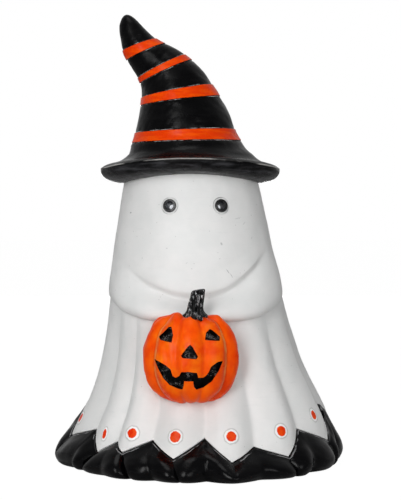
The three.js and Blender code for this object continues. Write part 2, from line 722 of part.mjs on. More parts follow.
// Peg from the pumpkin through the robe, or with a gap the hole for it
function pumpkinPeg(gap) {
  const length = robeFront + PUMPKIN_PEG_REACH + gap - pumpkinY;
  return bar(PUMPKIN_PEG_RADIUS + gap, [PUMPKIN_X, pumpkinY, PUMPKIN_HEIGHT], length, 'y');
}

const stemFoot = new THREE.Vector3(
  PUMPKIN_X + STEM_OFFSET_X,
  pumpkinY - STEM_FORWARD,
  PUMPKIN_HEIGHT + PUMPKIN_HALF_HEIGHT - DIMPLE_DEPTH - STEM_SINK,
);

// Peg from the stem into the pumpkin, or with a gap the hole for it
function stemPeg(gap) {
  const start = [stemFoot.x, stemFoot.y, stemFoot.z - STEM_PEG_LENGTH - gap];
  return bar(STEM_PEG_RADIUS + gap, start, STEM_PEG_LENGTH + STEM_PEG_RISE);
}

function pumpkin() {
  const recesses = joined(...CARVED_FACE.map(carving)).subtract(pumpkinForm(-CARVING_DEPTH));
  const body = cut(pumpkinForm(0), robeForm(GLUE_GAP), recesses, stemPeg(FIT_GAP));
  return geometryOf(joined(body, pumpkinPeg(0)));
}

function stemRing([share, flare]) {
  const lean = Math.max(share, 0) ** 2;
  const slant = Math.max(share, 0) * STEM_SLANT;
  return Array.from({ length: STEM_COLUMNS }, (_, i) => {
    const angle = (2 * Math.PI * i) / STEM_COLUMNS;
    const ridge = 1 + STEM_RIDGE_DEPTH * (1 + Math.max(flare, 0)) * Math.cos(STEM_RIDGES * angle);
    const radius = lerp(STEM_RADIUS, STEM_COLLAR_RADIUS, flare) * ridge;
    return new THREE.Vector3(
      stemFoot.x + STEM_LEAN_X * lean + Math.sin(angle) * radius,
      stemFoot.y + STEM_LEAN_Y * lean - Math.cos(angle) * radius,
      stemFoot.z + STEM_LENGTH * share + slant * Math.sin(angle) * radius,
    );
  });
}

function pumpkinStem() {
  const rings = STEM_FLARE.map(stemRing);
  const sum = (ring) => ring.reduce((total, point) => total.add(point), new THREE.Vector3());
  const middle = (ring) => sum(ring).divideScalar(ring.length);
  const form = skin([[middle(rings[0])], ...rings, [middle(rings[rings.length - 1])]]);
  const seated = cut(solid(form), pumpkinForm(GLUE_GAP), robeForm(GLUE_GAP));
  return geometryOf(joined(seated, stemPeg(0)));
}

// Eyes. Their own heights run along the axis of the eye, from 0 at the face of the robe

const eyeHeight = brimUnderside - EYE_DROP;
const clipFoot = FIT_GAP - EYE_RECESS_DEPTH;
const clipBack = clipFoot - CLIP_BARREL_LENGTH;
const ledBack = clipBack - FIT_GAP - LED_RIM_THICKNESS;
const leadEnd = ledBack - LEAD_LENGTH;

// Frame of an eye: its origin on the face of the robe, +Z straight out of it
function eyeMount(degrees) {
  const column = (turn) => ({ azimuth: degToRad(degrees + turn), fold: 0, share: 0 });
  const face = (turn, lift) => robePoint(column(turn), eyeHeight + lift);
  const across = face(1, 0).sub(face(-1, 0)).normalize();
  const out = across.clone().cross(face(0, 1).sub(face(0, -1))).normalize();
  const mount = new THREE.Group();
  const axes = new THREE.Matrix4().makeBasis(across, out.clone().cross(across), out);
  mount.quaternion.setFromRotationMatrix(axes);
  mount.position.copy(face(0, 0));
  mount.updateMatrixWorld();
  ghost.add(mount);
  return mount;
}

function eyeHole(mount) {
  const inside = clipBack - ROBE_WALL;
  const outside = 3 * CLIP_FLANGE_THICKNESS;
  const pocket = turned([
    [0, inside],
    [CLIP_BARREL_RADIUS + FIT_GAP, inside],
    [CLIP_BARREL_RADIUS + FIT_GAP, -EYE_RECESS_DEPTH],
    [EYE_RECESS_RADIUS, -EYE_RECESS_DEPTH],
    [EYE_RECESS_RADIUS, outside],
    [0, outside],
  ]);
  return solid(pocket.applyMatrix4(mount.matrix));
}

function eyeClip() {
  const bore = LED_RADIUS + FIT_GAP;
  const front = clipFoot + CLIP_FLANGE_THICKNESS;
  return turned([
    [bore, clipBack],
    [CLIP_BARREL_RADIUS, clipBack],
    [CLIP_BARREL_RADIUS, clipFoot],
    [CLIP_FLANGE_RADIUS, clipFoot],
    [CLIP_FLANGE_RADIUS, (clipFoot + front) / 2],
    [(bore + CLIP_FLANGE_RADIUS) / 2, front],
    [bore, front],
    [bore, clipBack],
  ]);
}

function eyeLed() {
  const domeStart = ledBack + LED_LENGTH - LED_RADIUS;
  const dome = [30, 60, 80].map((degrees) => {
    const angle = degToRad(degrees);
    return [LED_RADIUS * Math.cos(angle), domeStart + LED_RADIUS * Math.sin(angle)];
  });
  const lens = turned([
    [0, ledBack],
    [LED_RIM_RADIUS, ledBack],
    [LED_RIM_RADIUS, ledBack + LED_RIM_THICKNESS],
    [LED_RADIUS, ledBack + LED_RIM_THICKNESS],
    [LED_RADIUS, domeStart],
    ...dome,
    [0, ledBack + LED_LENGTH],
  ]);
  const lead = (side) =>
    bar(LEAD_RADIUS, [(side * LEAD_SPACING) / 2, 0, leadEnd], LEAD_LENGTH + LED_RIM_THICKNESS / 2, 'z', 8);
  return geometryOf(joined(solid(lens), lead(-1), lead(1)));
}

// Screw with a cross in its head. Its head hangs below height 0 and its shank stands on it
function screw(shankRadius, headRadius, length) {
  const profile = [
    [0, -SCREW_HEAD_THICKNESS],
    [headRadius * SCREW_FACE_SHARE, -SCREW_HEAD_THICKNESS],
    [headRadius, -SCREW_HEAD_THICKNESS / 2],
    [headRadius, 0],
    [shankRadius, 0],
    [shankRadius, length - 2 * shankRadius],
    [0, length],
  ];
  const [long, short] = [headRadius * CROSS_LENGTH_SHARE, headRadius * CROSS_WIDTH_SHARE];
  const [low, high] = [-2 * SCREW_HEAD_THICKNESS, -SCREW_HEAD_THICKNESS / 2];
  const cross = joined(
    block([-long, -short, low], [long, short, high]),
    block([-short, -long, low], [short, long, high]),
  );
  return geometryOf(cut(solid(turned(profile, 10)), cross));
}

// Levels and places in the base

const plateHalfWidth = rebateHalfWidth - FIT_GAP;
const flangeTop = PLATE_BOTTOM - FIT_GAP;
const flangeBottom = flangeTop - FLANGE_THICKNESS;
const doorTop = flangeBottom + DOOR_THICKNESS;
const cellHeight = doorTop + CELL_CLEARANCE + CELL_RADIUS;
const bayTop = cellHeight + CELL_RADIUS + CELL_CLEARANCE;
const roofTop = bayTop + BOX_WALL;
const floorTop = flangeBottom + CONTROL_FLOOR;
const boardBottom = floorTop + BOARD_POST_HEIGHT + FIT_GAP;
const boardTop = boardBottom + BOARD_THICKNESS;
const bayLength = 2 * (FIT_GAP + CONTACT_THICKNESS) + FIT_GAP + CELL_LENGTH + SPRING_ROOM;
const boxLength = bayLength + CONTROL_LENGTH + 3 * BOX_WALL;
const boxLeft = -boxLength / 2;
const bayLeft = boxLeft + BOX_WALL;
const bayRight = bayLeft + bayLength;
const controlLeft = bayRight + BOX_WALL;
const controlRight = controlLeft + CONTROL_LENGTH;
const boxRight = controlRight + BOX_WALL;
const bayHalf = ((CELL_COUNT - 1) / 2) * CELL_PITCH + CELL_RADIUS + CELL_CLEARANCE;
const boxHalf = bayHalf + BOX_WALL;
const shankHole = SCREW_SHANK_RADIUS + FIT_GAP;
const headHole = SCREW_HEAD_RADIUS + FIT_GAP;
const sunkenHead = flangeBottom + SCREW_HEAD_THICKNESS; // floor of the counterbores
const boxScrewPlaces = [boxLeft - FLANGE_WIDTH / 2, boxRight + FLANGE_WIDTH / 2].flatMap((x) => [
  [x, FLANGE_WIDTH - boxHalf],
  [x, boxHalf - FLANGE_WIDTH],
]);
const plateScrewPlaces = PLATE_SCREW_AZIMUTHS.map((degrees) => {
  const spot = ovalPoint({ azimuth: degToRad(degrees) }, rebateHalfWidth - LEDGE_WIDTH / 2, 0);
  return [spot.x, spot.y];
});

function basePlate() {
  const outline = new THREE.Shape();
  outline.absellipse(0, 0, plateHalfWidth, plateHalfWidth * DEPTH_RATIO, 0, 2 * Math.PI);
  const sheet = new THREE.ExtrudeGeometry(outline, {
    depth: PLATE_THICKNESS,
    bevelEnabled: false,
    curveSegments: 30,
  });
  const bossHeight = sunkenHead + BOX_SCREW_LENGTH + FIT_GAP - PLATE_BOTTOM;
  const bosses = boxScrewPlaces.map(([x, y]) =>
    bar(shankHole + BOSS_WALL, [x, y, PLATE_BOTTOM], bossHeight),
  );
  const window = block(
    [boxLeft - FIT_GAP, -boxHalf - FIT_GAP, 0],
    [boxRight + FIT_GAP, boxHalf + FIT_GAP, roofTop],
  );
  const holes = [...boxScrewPlaces, ...plateScrewPlaces].map(([x, y]) =>
    bar(shankHole, [x, y, 0], roofTop),
  );
  return geometryOf(cut(joined(solid(sheet.translate(0, 0, PLATE_BOTTOM)), ...bosses), window, ...holes));
}

// Battery door: a lid with a rounded hinge end, two pins and a tongue for its screw

const doorLeft = bayLeft - DOOR_LAP;
const doorRight = bayRight + DOOR_LAP;
const doorHalf = bayHalf + DOOR_LAP;
const hingeX = doorLeft + DOOR_THICKNESS / 2;
const hingeHeight = flangeBottom + DOOR_THICKNESS / 2;
const tongueEnd = doorRight + DOOR_TONGUE_LENGTH;
const doorScrewX = (doorRight + tongueEnd) / 2;

// Pins at both sides of the door, or with a gap the holes that they turn in
function hingePins(gap) {
  const length = HINGE_PIN_ROOT + HINGE_PIN_LENGTH + gap;
  return [HINGE_PIN_ROOT - doorHalf - length, doorHalf - HINGE_PIN_ROOT].map((start) =>
    bar(HINGE_PIN_RADIUS + gap, [hingeX, start, hingeHeight], length, 'y', 12),
  );
}

function batteryDoor() {
  const half = DOOR_TONGUE_WIDTH / 2;
  const grips = Array.from({ length: DOOR_GRIP_COUNT }, (_, i) => {
    const left = doorRight - (i + 1) * DOOR_GRIP_PITCH - DOOR_GRIP_WIDTH / 2;
    return block([left, -half, 0], [left + DOOR_GRIP_WIDTH, half, flangeBottom + DOOR_GRIP_DEPTH]);
  });
  const lid = joined(
    block([hingeX, -doorHalf, flangeBottom], [doorRight, doorHalf, doorTop]),
    bar(DOOR_THICKNESS / 2, [hingeX, -doorHalf, hingeHeight], 2 * doorHalf, 'y', 16),
    block([doorRight - DOOR_LAP, -half, flangeBottom], [tongueEnd, half, doorTop]),
    ...hingePins(0),
  );
  const screwHole = joined(
    bar(shankHole, [doorScrewX, 0, 0], roofTop),
    bar(headHole, [doorScrewX, 0, 0], sunkenHead),
  );
  return geometryOf(cut(lid, screwHole, ...grips));
}

// Battery box

const boardCentreX = (controlLeft + controlRight) / 2;
const postPlaces = [
  [boardCentreX, -BOARD_POST_Y],
  [boardCentreX, BOARD_POST_Y],
];
const knobX = controlRight - SWITCH_INSET;
const slotHalfX = KNOB_WIDTH / 2 + FIT_GAP;
const slotHalfY = KNOB_LENGTH / 2 + KNOB_TRAVEL + FIT_GAP;
const cellY = (index) => (index - (CELL_COUNT - 1) / 2) * CELL_PITCH;
const leftContactX = bayLeft + FIT_GAP;
const rightContactX = bayRight - FIT_GAP - CONTACT_THICKNESS;

function boxWalls() {
  const outside = joined(
    block([boxLeft, -boxHalf, flangeBottom], [controlLeft, boxHalf, roofTop]),
    block([bayRight, -boxHalf, flangeBottom], [boxRight, boxHalf, CONTROL_WALL_TOP]),
    block(
      [boxLeft - FLANGE_WIDTH, -boxHalf - FLANGE_WIDTH, flangeBottom],
      [boxRight + FLANGE_WIDTH, boxHalf + FLANGE_WIDTH, flangeTop],
    ),
  );
  const bay = block([bayLeft, -bayHalf, 0], [bayRight, bayHalf, bayTop]);
  const control = block([controlLeft, -bayHalf, floorTop], [controlRight, bayHalf, roofTop]);
  return cut(outside, bay, control);
}

function doorRecess() {
  const tongueHalf = DOOR_TONGUE_WIDTH / 2 + DOOR_GAP;
  return joined(
    block(
      [doorLeft - DOOR_GAP, -doorHalf - DOOR_GAP, 0],
      [doorRight + DOOR_GAP, doorHalf + DOOR_GAP, flangeTop],
    ),
    block([doorRight, -tongueHalf, 0], [tongueEnd + DOOR_GAP, tongueHalf, flangeTop]),
    ...hingePins(FIT_GAP),
  );
}

function tabSlot(x, y) {
  const half = TAB_WIDTH / 2 + FIT_GAP;
  const right = x + CONTACT_THICKNESS + FIT_GAP;
  return block([x - FIT_GAP, y - half, cellHeight], [right, y + half, roofTop + TAB_REACH]);
}

function batteryBox() {
  const doorScrewHole = SCREW_SHANK_RADIUS + DOOR_SCREW_CLEARANCE;
  const bossHeight = sunkenHead + DOOR_SCREW_LENGTH + FIT_GAP - floorTop;
  const posts = [
    bar(doorScrewHole + BOSS_WALL, [doorScrewX, 0, floorTop - POST_ROOT], bossHeight + POST_ROOT),
    ...postPlaces.map(([x, y]) =>
      bar(BOARD_POST_RADIUS, [x, y, floorTop - POST_ROOT], BOARD_POST_HEIGHT + POST_ROOT),
    ),
  ];
  const knobSlot = block(
    [knobX - slotHalfX, SWITCH_Y - slotHalfY, 0],
    [knobX + slotHalfX, SWITCH_Y + slotHalfY, roofTop],
  );
  const boxScrewHoles = boxScrewPlaces.flatMap(([x, y]) => [
    bar(shankHole, [x, y, 0], roofTop),
    bar(headHole, [x, y, 0], sunkenHead),
  ]);
  const boardScrewTip = boardTop - BOARD_SCREW_LENGTH;
  const boardScrewHoles = postPlaces.map(([x, y]) =>
    bar(BOARD_SCREW_SHANK_RADIUS + FIT_GAP, [x, y, boardScrewTip], BOARD_SCREW_LENGTH),
  );
  const body = cut(
    joined(boxWalls(), ...posts),
    doorRecess(),
    knobSlot,
    bar(doorScrewHole, [doorScrewX, 0, 0], roofTop),
    tabSlot(leftContactX, cellY(0)),
    tabSlot(rightContactX, cellY(CELL_COUNT - 1)),
    ...boxScrewHoles,
    ...boardScrewHoles,
  );
  return geometryOf(body);
}

// Cell lying along X, its raised end towards +X or -X
function cell(direction) {
  const shoulder = CELL_LENGTH - CELL_NUB_LENGTH;
  const profile = [
    [0, 0],
    [CELL_RADIUS - CELL_EDGE, 0],
    [CELL_RADIUS, CELL_EDGE],
    [CELL_RADIUS, shoulder - CELL_EDGE],
    [CELL_RADIUS - CELL_EDGE, shoulder],
    [CELL_NUB_RADIUS, shoulder],
    [CELL_NUB_RADIUS, CELL_LENGTH],
    [0, CELL_LENGTH],
  ];
  return turned(profile, 18).rotateY((direction * Math.PI) / 2);
}

// Contacts: a plate against the end wall, with a spring for each flat end of a cell

class ConeHelix extends THREE.Curve {
  getPoint(t) {
    const angle = 2 * Math.PI * SPRING_TURNS * t;
    const radius = lerp(SPRING_FOOT_RADIUS, SPRING_HEAD_RADIUS, t);
    const rise = t * (SPRING_ROOM - FIT_GAP - SPRING_WIRE_RADIUS);
    return new THREE.Vector3(rise, radius * Math.cos(angle), radius * Math.sin(angle));
  }
}

function spring(x, y, direction) {
  const coil = tube(new ConeHelix(), SPRING_WIRE_RADIUS, 8 * SPRING_TURNS, 5);
  if (direction < 0) coil.rotateZ(Math.PI);
  return solid(coil.translate(x, y, cellHeight));
}

function contact({ left, cells, springCells = [], tab = false }) {
  const x = left ? leftContactX : rightContactX;
  const face = left ? x + CONTACT_THICKNESS : x;
  const rows = cells.map(cellY);
  const plate = block(
    [x, Math.min(...rows) - CONTACT_WIDTH / 2, cellHeight - CONTACT_HEIGHT / 2],
    [x + CONTACT_THICKNESS, Math.max(...rows) + CONTACT_WIDTH / 2, cellHeight + CONTACT_HEIGHT / 2],
  );
  const pieces = [plate, ...springCells.map((index) => spring(face, cellY(index), left ? 1 : -1))];
  if (tab) {
    const low = [x, rows[0] - TAB_WIDTH / 2, cellHeight];
    pieces.push(block(low, [x + CONTACT_THICKNESS, rows[0] + TAB_WIDTH / 2, roofTop + TAB_REACH]));
  }
  return geometryOf(joined(...pieces));
}

// Circuit board, switch and resistors

function circuitBoard() {
  const low = [controlLeft + BOARD_MARGIN, BOARD_MARGIN - bayHalf, boardBottom];
  const high = [controlRight - BOARD_MARGIN, bayHalf - BOARD_MARGIN, boardTop];
  const screwHoles = postPlaces.map(([x, y]) =>
    bar(BOARD_SCREW_SHANK_RADIUS + FIT_GAP, [x, y, 0], roofTop),
  );
  return geometryOf(cut(block(low, high), ...screwHoles));
}

const switchBottom = floorTop + FIT_GAP;
const switchTop = boardBottom - FIT_GAP;

function switchHousing() {
  const [halfX, halfY] = [SWITCH_WIDTH / 2, SWITCH_LENGTH / 2];
  const inside = block(
    [SWITCH_WALL - halfX, SWITCH_WALL - halfY, switchBottom + SWITCH_WALL],
    [halfX - SWITCH_WALL, halfY - SWITCH_WALL, switchTop - SWITCH_WALL],
  );
  const slot = block([-slotHalfX, -slotHalfY, 0], [slotHalfX, slotHalfY, switchBottom + 2 * SWITCH_WALL]);
  return geometryOf(cut(block([-halfX, -halfY, switchBottom], [halfX, halfY, switchTop]), inside, slot));
}

function switchKnob() {
  const footBottom = switchBottom + SWITCH_WALL + FIT_GAP;
  const footTop = footBottom + KNOB_FOOT_THICKNESS;
  const footHalf = SWITCH_WIDTH / 2 - SWITCH_WALL - FIT_GAP;
  return geometryOf(
    joined(
      block([-footHalf, -KNOB_FOOT_LENGTH / 2, footBottom], [footHalf, KNOB_FOOT_LENGTH / 2, footTop]),
      block(
        [-KNOB_WIDTH / 2, -KNOB_LENGTH / 2, flangeBottom - KNOB_REACH],
        [KNOB_WIDTH / 2, KNOB_LENGTH / 2, (footBottom + footTop) / 2],
      ),
    ),
  );
}

// Resistor lying along X on two bent leads
function resistor() {
  const height = RESISTOR_RADIUS + RESISTOR_LIFT;
  const half = RESISTOR_SPAN / 2;
  const lead = RESISTOR_LEAD_RADIUS;
  return geometryOf(
    joined(
      bar(RESISTOR_RADIUS, [-RESISTOR_LENGTH / 2, 0, height], RESISTOR_LENGTH, 'x', 16),
      bar(lead, [-half - lead, 0, height], 2 * (half + lead), 'x', 8),
      bar(lead, [-half, 0, 0], height, 'z', 8),
      bar(lead, [half, 0, 0], height, 'z', 8),
    ),
  );
}

// Wires

const downward = new THREE.Vector3(0, 0, -1);

function wire(start, startWay, middle, end, endWay) {
  const points = [
    start,
    start.clone().addScaledVector(startWay, WIRE_STRAIGHT),
    ...middle.map((point) => new THREE.Vector3(...point)),
    end.clone().addScaledVector(endWay, -WIRE_STRAIGHT),
    end,
  ];
  const curve = new THREE.CatmullRomCurve3(points, false, 'centripetal');
  return tube(curve, WIRE_RADIUS, Math.round(curve.getLength() / WIRE_STEP), WIRE_SIDES);
}

// End of a wire on the circuit board, below the last point of its route
const solderJoint = ([x, y]) => new THREE.Vector3(x, y, boardTop + FIT_GAP);

function eyeWire(mount, side, lane) {
  const start = mount.localToWorld(new THREE.Vector3((side * LEAD_SPACING) / 2, 0, leadEnd - FIT_GAP));
  const backward = downward.clone().applyQuaternion(mount.quaternion);
  const middle = HARNESS_ROUTE.map(([x, y, z]) => [x + lane * WIRE_LANE, y, z]);
  return wire(start, backward, middle, solderJoint(middle[middle.length - 1]), downward);
}

function batteryLead(route, x, y) {
  const start = new THREE.Vector3(x + CONTACT_THICKNESS / 2, y, roofTop + TAB_REACH + FIT_GAP);
  return wire(start, downward.clone().negate(), route, solderJoint(route[route.length - 1]), downward);
}

// Assembly

const mounts = Object.entries(EYE_AZIMUTHS).map(([side, degrees]) => [side, eyeMount(degrees)]);
const eyeHoles = mounts.map(([, mount]) => eyeHole(mount));
const plateScrewHoles = plateScrewPlaces.map(([x, y]) => bar(shankHole, [x, y, 0], ledgeTop));

place('robe_shell', robeShell(pumpkinPeg(FIT_GAP), ...eyeHoles), 'whiteResin');
place('hem_skirt', hemSkirt(...plateScrewHoles), 'blackResin');
place('witch_hat', witchHat(), 'blackResin');
place('pumpkin', pumpkin(), 'orangeResin');
place('pumpkin_stem', pumpkinStem(), 'blackResin');

mounts.forEach(([side, mount], index) => {
  place(`eye_clip_${side}`, eyeClip(), 'blackPlastic', mount);
  place(`eye_led_${side}`, eyeLed(), 'clearEpoxy', mount);
  place(`eye_wire_${side}_red`, eyeWire(mount, -1, 2 * index), 'redWire');
  place(`eye_wire_${side}_black`, eyeWire(mount, 1, 2 * index + 1), 'blackWire');
});

place('base_plate', basePlate(), 'blackPlastic');
place('battery_box', batteryBox(), 'blackPlastic');
place('battery_door', batteryDoor(), 'blackPlastic');

plateScrewPlaces.forEach(([x, y], i) => {
  const shape = screw(SCREW_SHANK_RADIUS, SCREW_HEAD_RADIUS, PLATE_SCREW_LENGTH);
  place(`plate_screw_${i + 1}`, shape, 'zincScrew').position.set(x, y, PLATE_BOTTOM - FIT_GAP);
});
boxScrewPlaces.forEach(([x, y], i) => {
  const shape = screw(SCREW_SHANK_RADIUS, SCREW_HEAD_RADIUS, BOX_SCREW_LENGTH);
  place(`box_screw_${i + 1}`, shape, 'zincScrew').position.set(x, y, sunkenHead - FIT_GAP);
});
const doorScrew = screw(SCREW_SHANK_RADIUS, SCREW_HEAD_RADIUS, DOOR_SCREW_LENGTH);
place('door_screw', doorScrew, 'zincScrew').position.set(doorScrewX, 0, sunkenHead - FIT_GAP);

for (let index = 0; index < CELL_COUNT; index += 1) {
  const direction = index % 2 === 0 ? -1 : 1;
  const raisedEnd = direction > 0 ? rightContactX - FIT_GAP : leftContactX + CONTACT_THICKNESS + FIT_GAP;
  const mesh = place(`battery_${index + 1}`, cell(direction), 'cellWrap');
  mesh.position.set(raisedEnd - direction * CELL_LENGTH, cellY(index), cellHeight);
}
place('contact_positive', contact({ left: true, cells: [0], tab: true }), 'tinnedSteel');
place('contact_bridge_left', contact({ left: true, cells: [1, 2], springCells: [1] }), 'tinnedSteel');
place('contact_bridge_right', contact({ left: false, cells: [0, 1], springCells: [0] }), 'tinnedSteel');
place('contact_negative', contact({ left: false, cells: [2], springCells: [2], tab: true }), 'tinnedSteel');

place('circuit_board', circuitBoard(), 'boardGreen');
place('switch_housing', switchHousing(), 'blackPlastic').position.set(knobX, SWITCH_Y, 0);
place('switch_knob', switchKnob(), 'blackPlastic').position.set(knobX, SWITCH_Y, 0);
RESISTOR_Y.forEach((y, i) => {
  place(`resistor_${i + 1}`, resistor(), 'tanCeramic').position.set(boardCentreX, y, boardTop + FIT_GAP);
});
postPlaces.forEach(([x, y], i) => {
  const shape = screw(BOARD_SCREW_SHANK_RADIUS, BOARD_SCREW_HEAD_RADIUS, BOARD_SCREW_LENGTH);
  const mesh = place(`board_screw_${i + 1}`, shape, 'zincScrew');
  mesh.rotation.x = Math.PI;
  mesh.position.set(x, y, boardTop + FIT_GAP);
});
place('battery_lead_red', batteryLead(BATTERY_LEAD_ROUTES.red, leftContactX, cellY(0)), 'redWire');
place(
  'battery_lead_black',
  batteryLead(BATTERY_LEAD_ROUTES.black, rightContactX, cellY(CELL_COUNT - 1)),
  'blackWire',
);

export default ghost;
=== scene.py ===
"""Ghost figure in a witch hat that holds a carved pumpkin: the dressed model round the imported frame.

Shapes are worked out in millimetres, in the frame of the CAD model, and written to the meshes in metres.
Azimuth 0 is the front of the figure, -Y, and azimuths grow towards +X.
"""
import math

import bpy
import numpy as np
from mathutils import Matrix, Vector


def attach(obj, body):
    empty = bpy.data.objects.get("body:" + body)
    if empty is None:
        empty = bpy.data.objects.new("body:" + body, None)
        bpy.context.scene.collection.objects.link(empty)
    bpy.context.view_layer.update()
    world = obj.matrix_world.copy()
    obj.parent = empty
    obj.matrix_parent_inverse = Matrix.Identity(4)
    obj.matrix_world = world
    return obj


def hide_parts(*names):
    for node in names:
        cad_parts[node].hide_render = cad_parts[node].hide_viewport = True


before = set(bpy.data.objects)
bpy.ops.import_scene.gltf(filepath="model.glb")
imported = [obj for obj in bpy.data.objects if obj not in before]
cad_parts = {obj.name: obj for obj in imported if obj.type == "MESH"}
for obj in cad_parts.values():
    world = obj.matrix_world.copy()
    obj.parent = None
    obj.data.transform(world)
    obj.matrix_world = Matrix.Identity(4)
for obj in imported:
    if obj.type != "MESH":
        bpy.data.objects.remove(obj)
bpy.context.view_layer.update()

MM = 0.001
FIGURE = "figure"

# Sizes of the castings, in mm, as the CAD model has them

# Height, half width, centre x
ROBE_PROFILE = np.array([
    [0, 92, 0], [14, 88, 1], [28, 83.8, 2], [45, 76.3, 2.6],
    [70, 66.8, 0.5], [105, 59.8, -2.2], [145, 54.3, -5], [190, 45.8, -6.3],
])
DEPTH_RATIO = 0.92
HEAD_BASE = 190
CROWN_HEIGHT = 36
ROBE_WALL = 4
# Height, depth of the folds as a share of the half width
FOLD_DEPTH = np.array([[0, 0.036], [30, 0.036], [50, 0.033], [75, 0.025], [98, 0.01], [120, 0]])
# Azimuth of a hem point in degrees, its height, azimuth of the notch after it, its height
HEM_POINTS = [
    (-79, 19, -59.5, 26.5), (-50.5, 13.5, -41.5, 21.5), (-34.5, 16, -23, 24), (-11.5, 14, 0.5, 26),
    (12, 11.8, 23, 20), (37.5, 13, 48.5, 28.5), (68, 18, 77.5, 41), (96.5, 18, 110, 29),
    (123.5, 14, 137, 25), (150.5, 13, 163.5, 24), (177, 12, 190.5, 25), (204, 14, 217, 26),
    (230.5, 15, 244, 27), (257.5, 18, 271, 38.5),
]
# How far the ridge over each hem point stands out
RIDGES = np.array([1, 0.1, 1, 1, 1.1, 1, 1, 1, 1, 1, 1, 1, 1, 1])
SLEEVE_TOP, SLEEVE_TOP_RISE_LEFT, SLEEVE_TOP_RISE_RIGHT = 115.8, 28, 37.5
SLEEVE_BOTTOM, SLEEVE_BOTTOM_RISE = 98.5, 15
SLEEVE_SWELL_FRONT, SLEEVE_SWELL_SIDE = 9, 0.5
# Sine of the azimuth over which the sleeves' tops change, cosine over which the swell grows
SLEEVE_MIDDLE, SLEEVE_FADE = (-0.5, 0.5), (-0.55, 0.1)
# Power of the swell's fall above its fullest place, factor that makes it 1 there
SLEEVE_FALL, SLEEVE_FULLNESS = 1.6, 3.165
# How blunt the folds and ribs are at the bottom of a valley
FOLD_SOFTNESS = 0.015
HEM_STEP = 1
GLUE_GAP = 0.4
LOBE_BULGE = 14.6
# How far the black lobes stand out at the crease below each hem point
CREASE_BULGE = [11, 2, 3, 9, 14, 6, 3, 5, 8, 12, 6, 9, 12, 5]
# How many degrees each crease leans round to the right on its way down
CREASE_LEAN = [-3, -7, 6, 4, 0, 3, 2, -3, 4, 2, -4, 3, -2, 2]
LOBE_ROUNDING, LOBE_FULLNESS = 0.66, 0.5
FOOT_ROUNDING, FOOT_SHARPNESS = 3, 10
SPIGOT_HEIGHT, SPIGOT_WALL = 39, 3.5
REBATE_HALF_WIDTH, LEDGE_WIDTH, LEDGE_BOTTOM, LEDGE_TOP = 81.5, 9, 7.5, 12.5
# Height, half width, share of the front and back rise
BRIM_PROFILE = np.array([
    [189.6, 48.5, 1], [190.7, 53.5, 1], [193.2, 58.4, 1], [197.5, 60.9, 0.95], [200.8, 59, 0.85],
    [202.8, 54.6, 0.7], [204.2, 49.2, 0.5], [206.4, 45.3, 0.35], [209.4, 42, 0.2],
])
BRIM_RISE, BRIM_CENTRE_X, HAT_DEPTH_RATIO = 6, -6.8, 0.95
# Distance up the crown, centre x, centre height, radius, lean in degrees
CROWN_STATIONS = np.array([
    [0, -9.2, 215.5, 38.2, 1], [6, -10.3, 221.4, 35, 1.8], [19, -11.4, 234.4, 31.4, 3.5],
    [34, -14.9, 249.2, 25.7, 8.5], [45, -19, 259, 22.2, 17], [56, -25.2, 267.6, 18.5, 26],
    [67, -32.4, 275, 15.9, 26], [77, -39.6, 281.4, 13.1, 22], [88, -45.4, 291, 9.4, 13],
    [95, -48.2, 297.4, 7.1, 5],
])
HAT_TIP_X, HAT_TIP_HEIGHT = -50, 304.3
HAT_BANDS = [(2.5, 9.5), (30.4, 37.2), (53.4, 58), (73.6, 80)]
BAND_RELIEF = 0.5
SOCKET_GAP = 0.6
PUMPKIN_HALF = np.array([31.8, 27, 30.6])
PUMPKIN_X, PUMPKIN_HEIGHT, PUMPKIN_PROUD = -6.4, 76.8, 33
PUMPKIN_RIBS, PUMPKIN_RIB_DEPTH, PUMPKIN_FULLNESS = 10, 0.085, 0.75
DIMPLE_DEPTH, FOOT_DIMPLE_DEPTH, DIMPLE_RADIUS = 5.5, 2.5, 13
CARVING_DEPTH = 1.8
# Outlines of the carved face, sideways and upwards from the pumpkin's centre
CARVED_FACE = [
    [(-12.1, 21.3), (-13.6, 20.9), (-19.6, 15), (-18.9, 13.2), (-11.9, 11.8), (-11, 16.4)],
    [(12.3, 19.8), (14, 18.9), (18.5, 15), (18.4, 12.7), (9.4, 13.4), (10.2, 17.8)],
    [(0, 10.3), (-1.1, 9.6), (-5.6, 3.8), (-4.8, 2.5), (3.7, 1.8), (4.7, 3.1), (1.4, 9.2)],
    [
        (-22.5, 0.6), (-19.9, -5.1), (-17, -10.6), (-12.9, -15), (-7.6, -17.6), (-5, -17.8),
        (-4.3, -15.2), (-4, -12.2), (2, -12.3), (2.4, -16), (3.9, -17.8), (8.1, -16.6),
        (13.3, -12.7), (18, -5.7), (20.2, -0.2), (17.5, -0.6), (13.3, -3.3), (11.6, -7.2),
        (9.7, -9.4), (8, -10.6), (4.9, -10.4), (4.1, -7.3), (-1.4, -6.5), (-5.5, -6.7),
        (-6.8, -9.2), (-9.2, -10.6), (-11.3, -9.3), (-12.4, -5.3), (-15.5, -2.6), (-19.7, -0.5),
    ],
]
STEM_LENGTH, STEM_OFFSET_X, STEM_FORWARD = 21, 2.4, 7
STEM_LEAN_X, STEM_LEAN_Y, STEM_SLANT = 2.7, -2.4, 0.16
STEM_RADIUS, STEM_COLLAR_RADIUS, STEM_RIDGES, STEM_RIDGE_DEPTH = 4.4, 7, 10, 0.13
STEM_SINK = 2
# Turn of the ridges on their way up, in radians, and how pointed they are
STEM_RIDGE_TURN, STEM_RIDGE_POWER = 0.35, 0.7
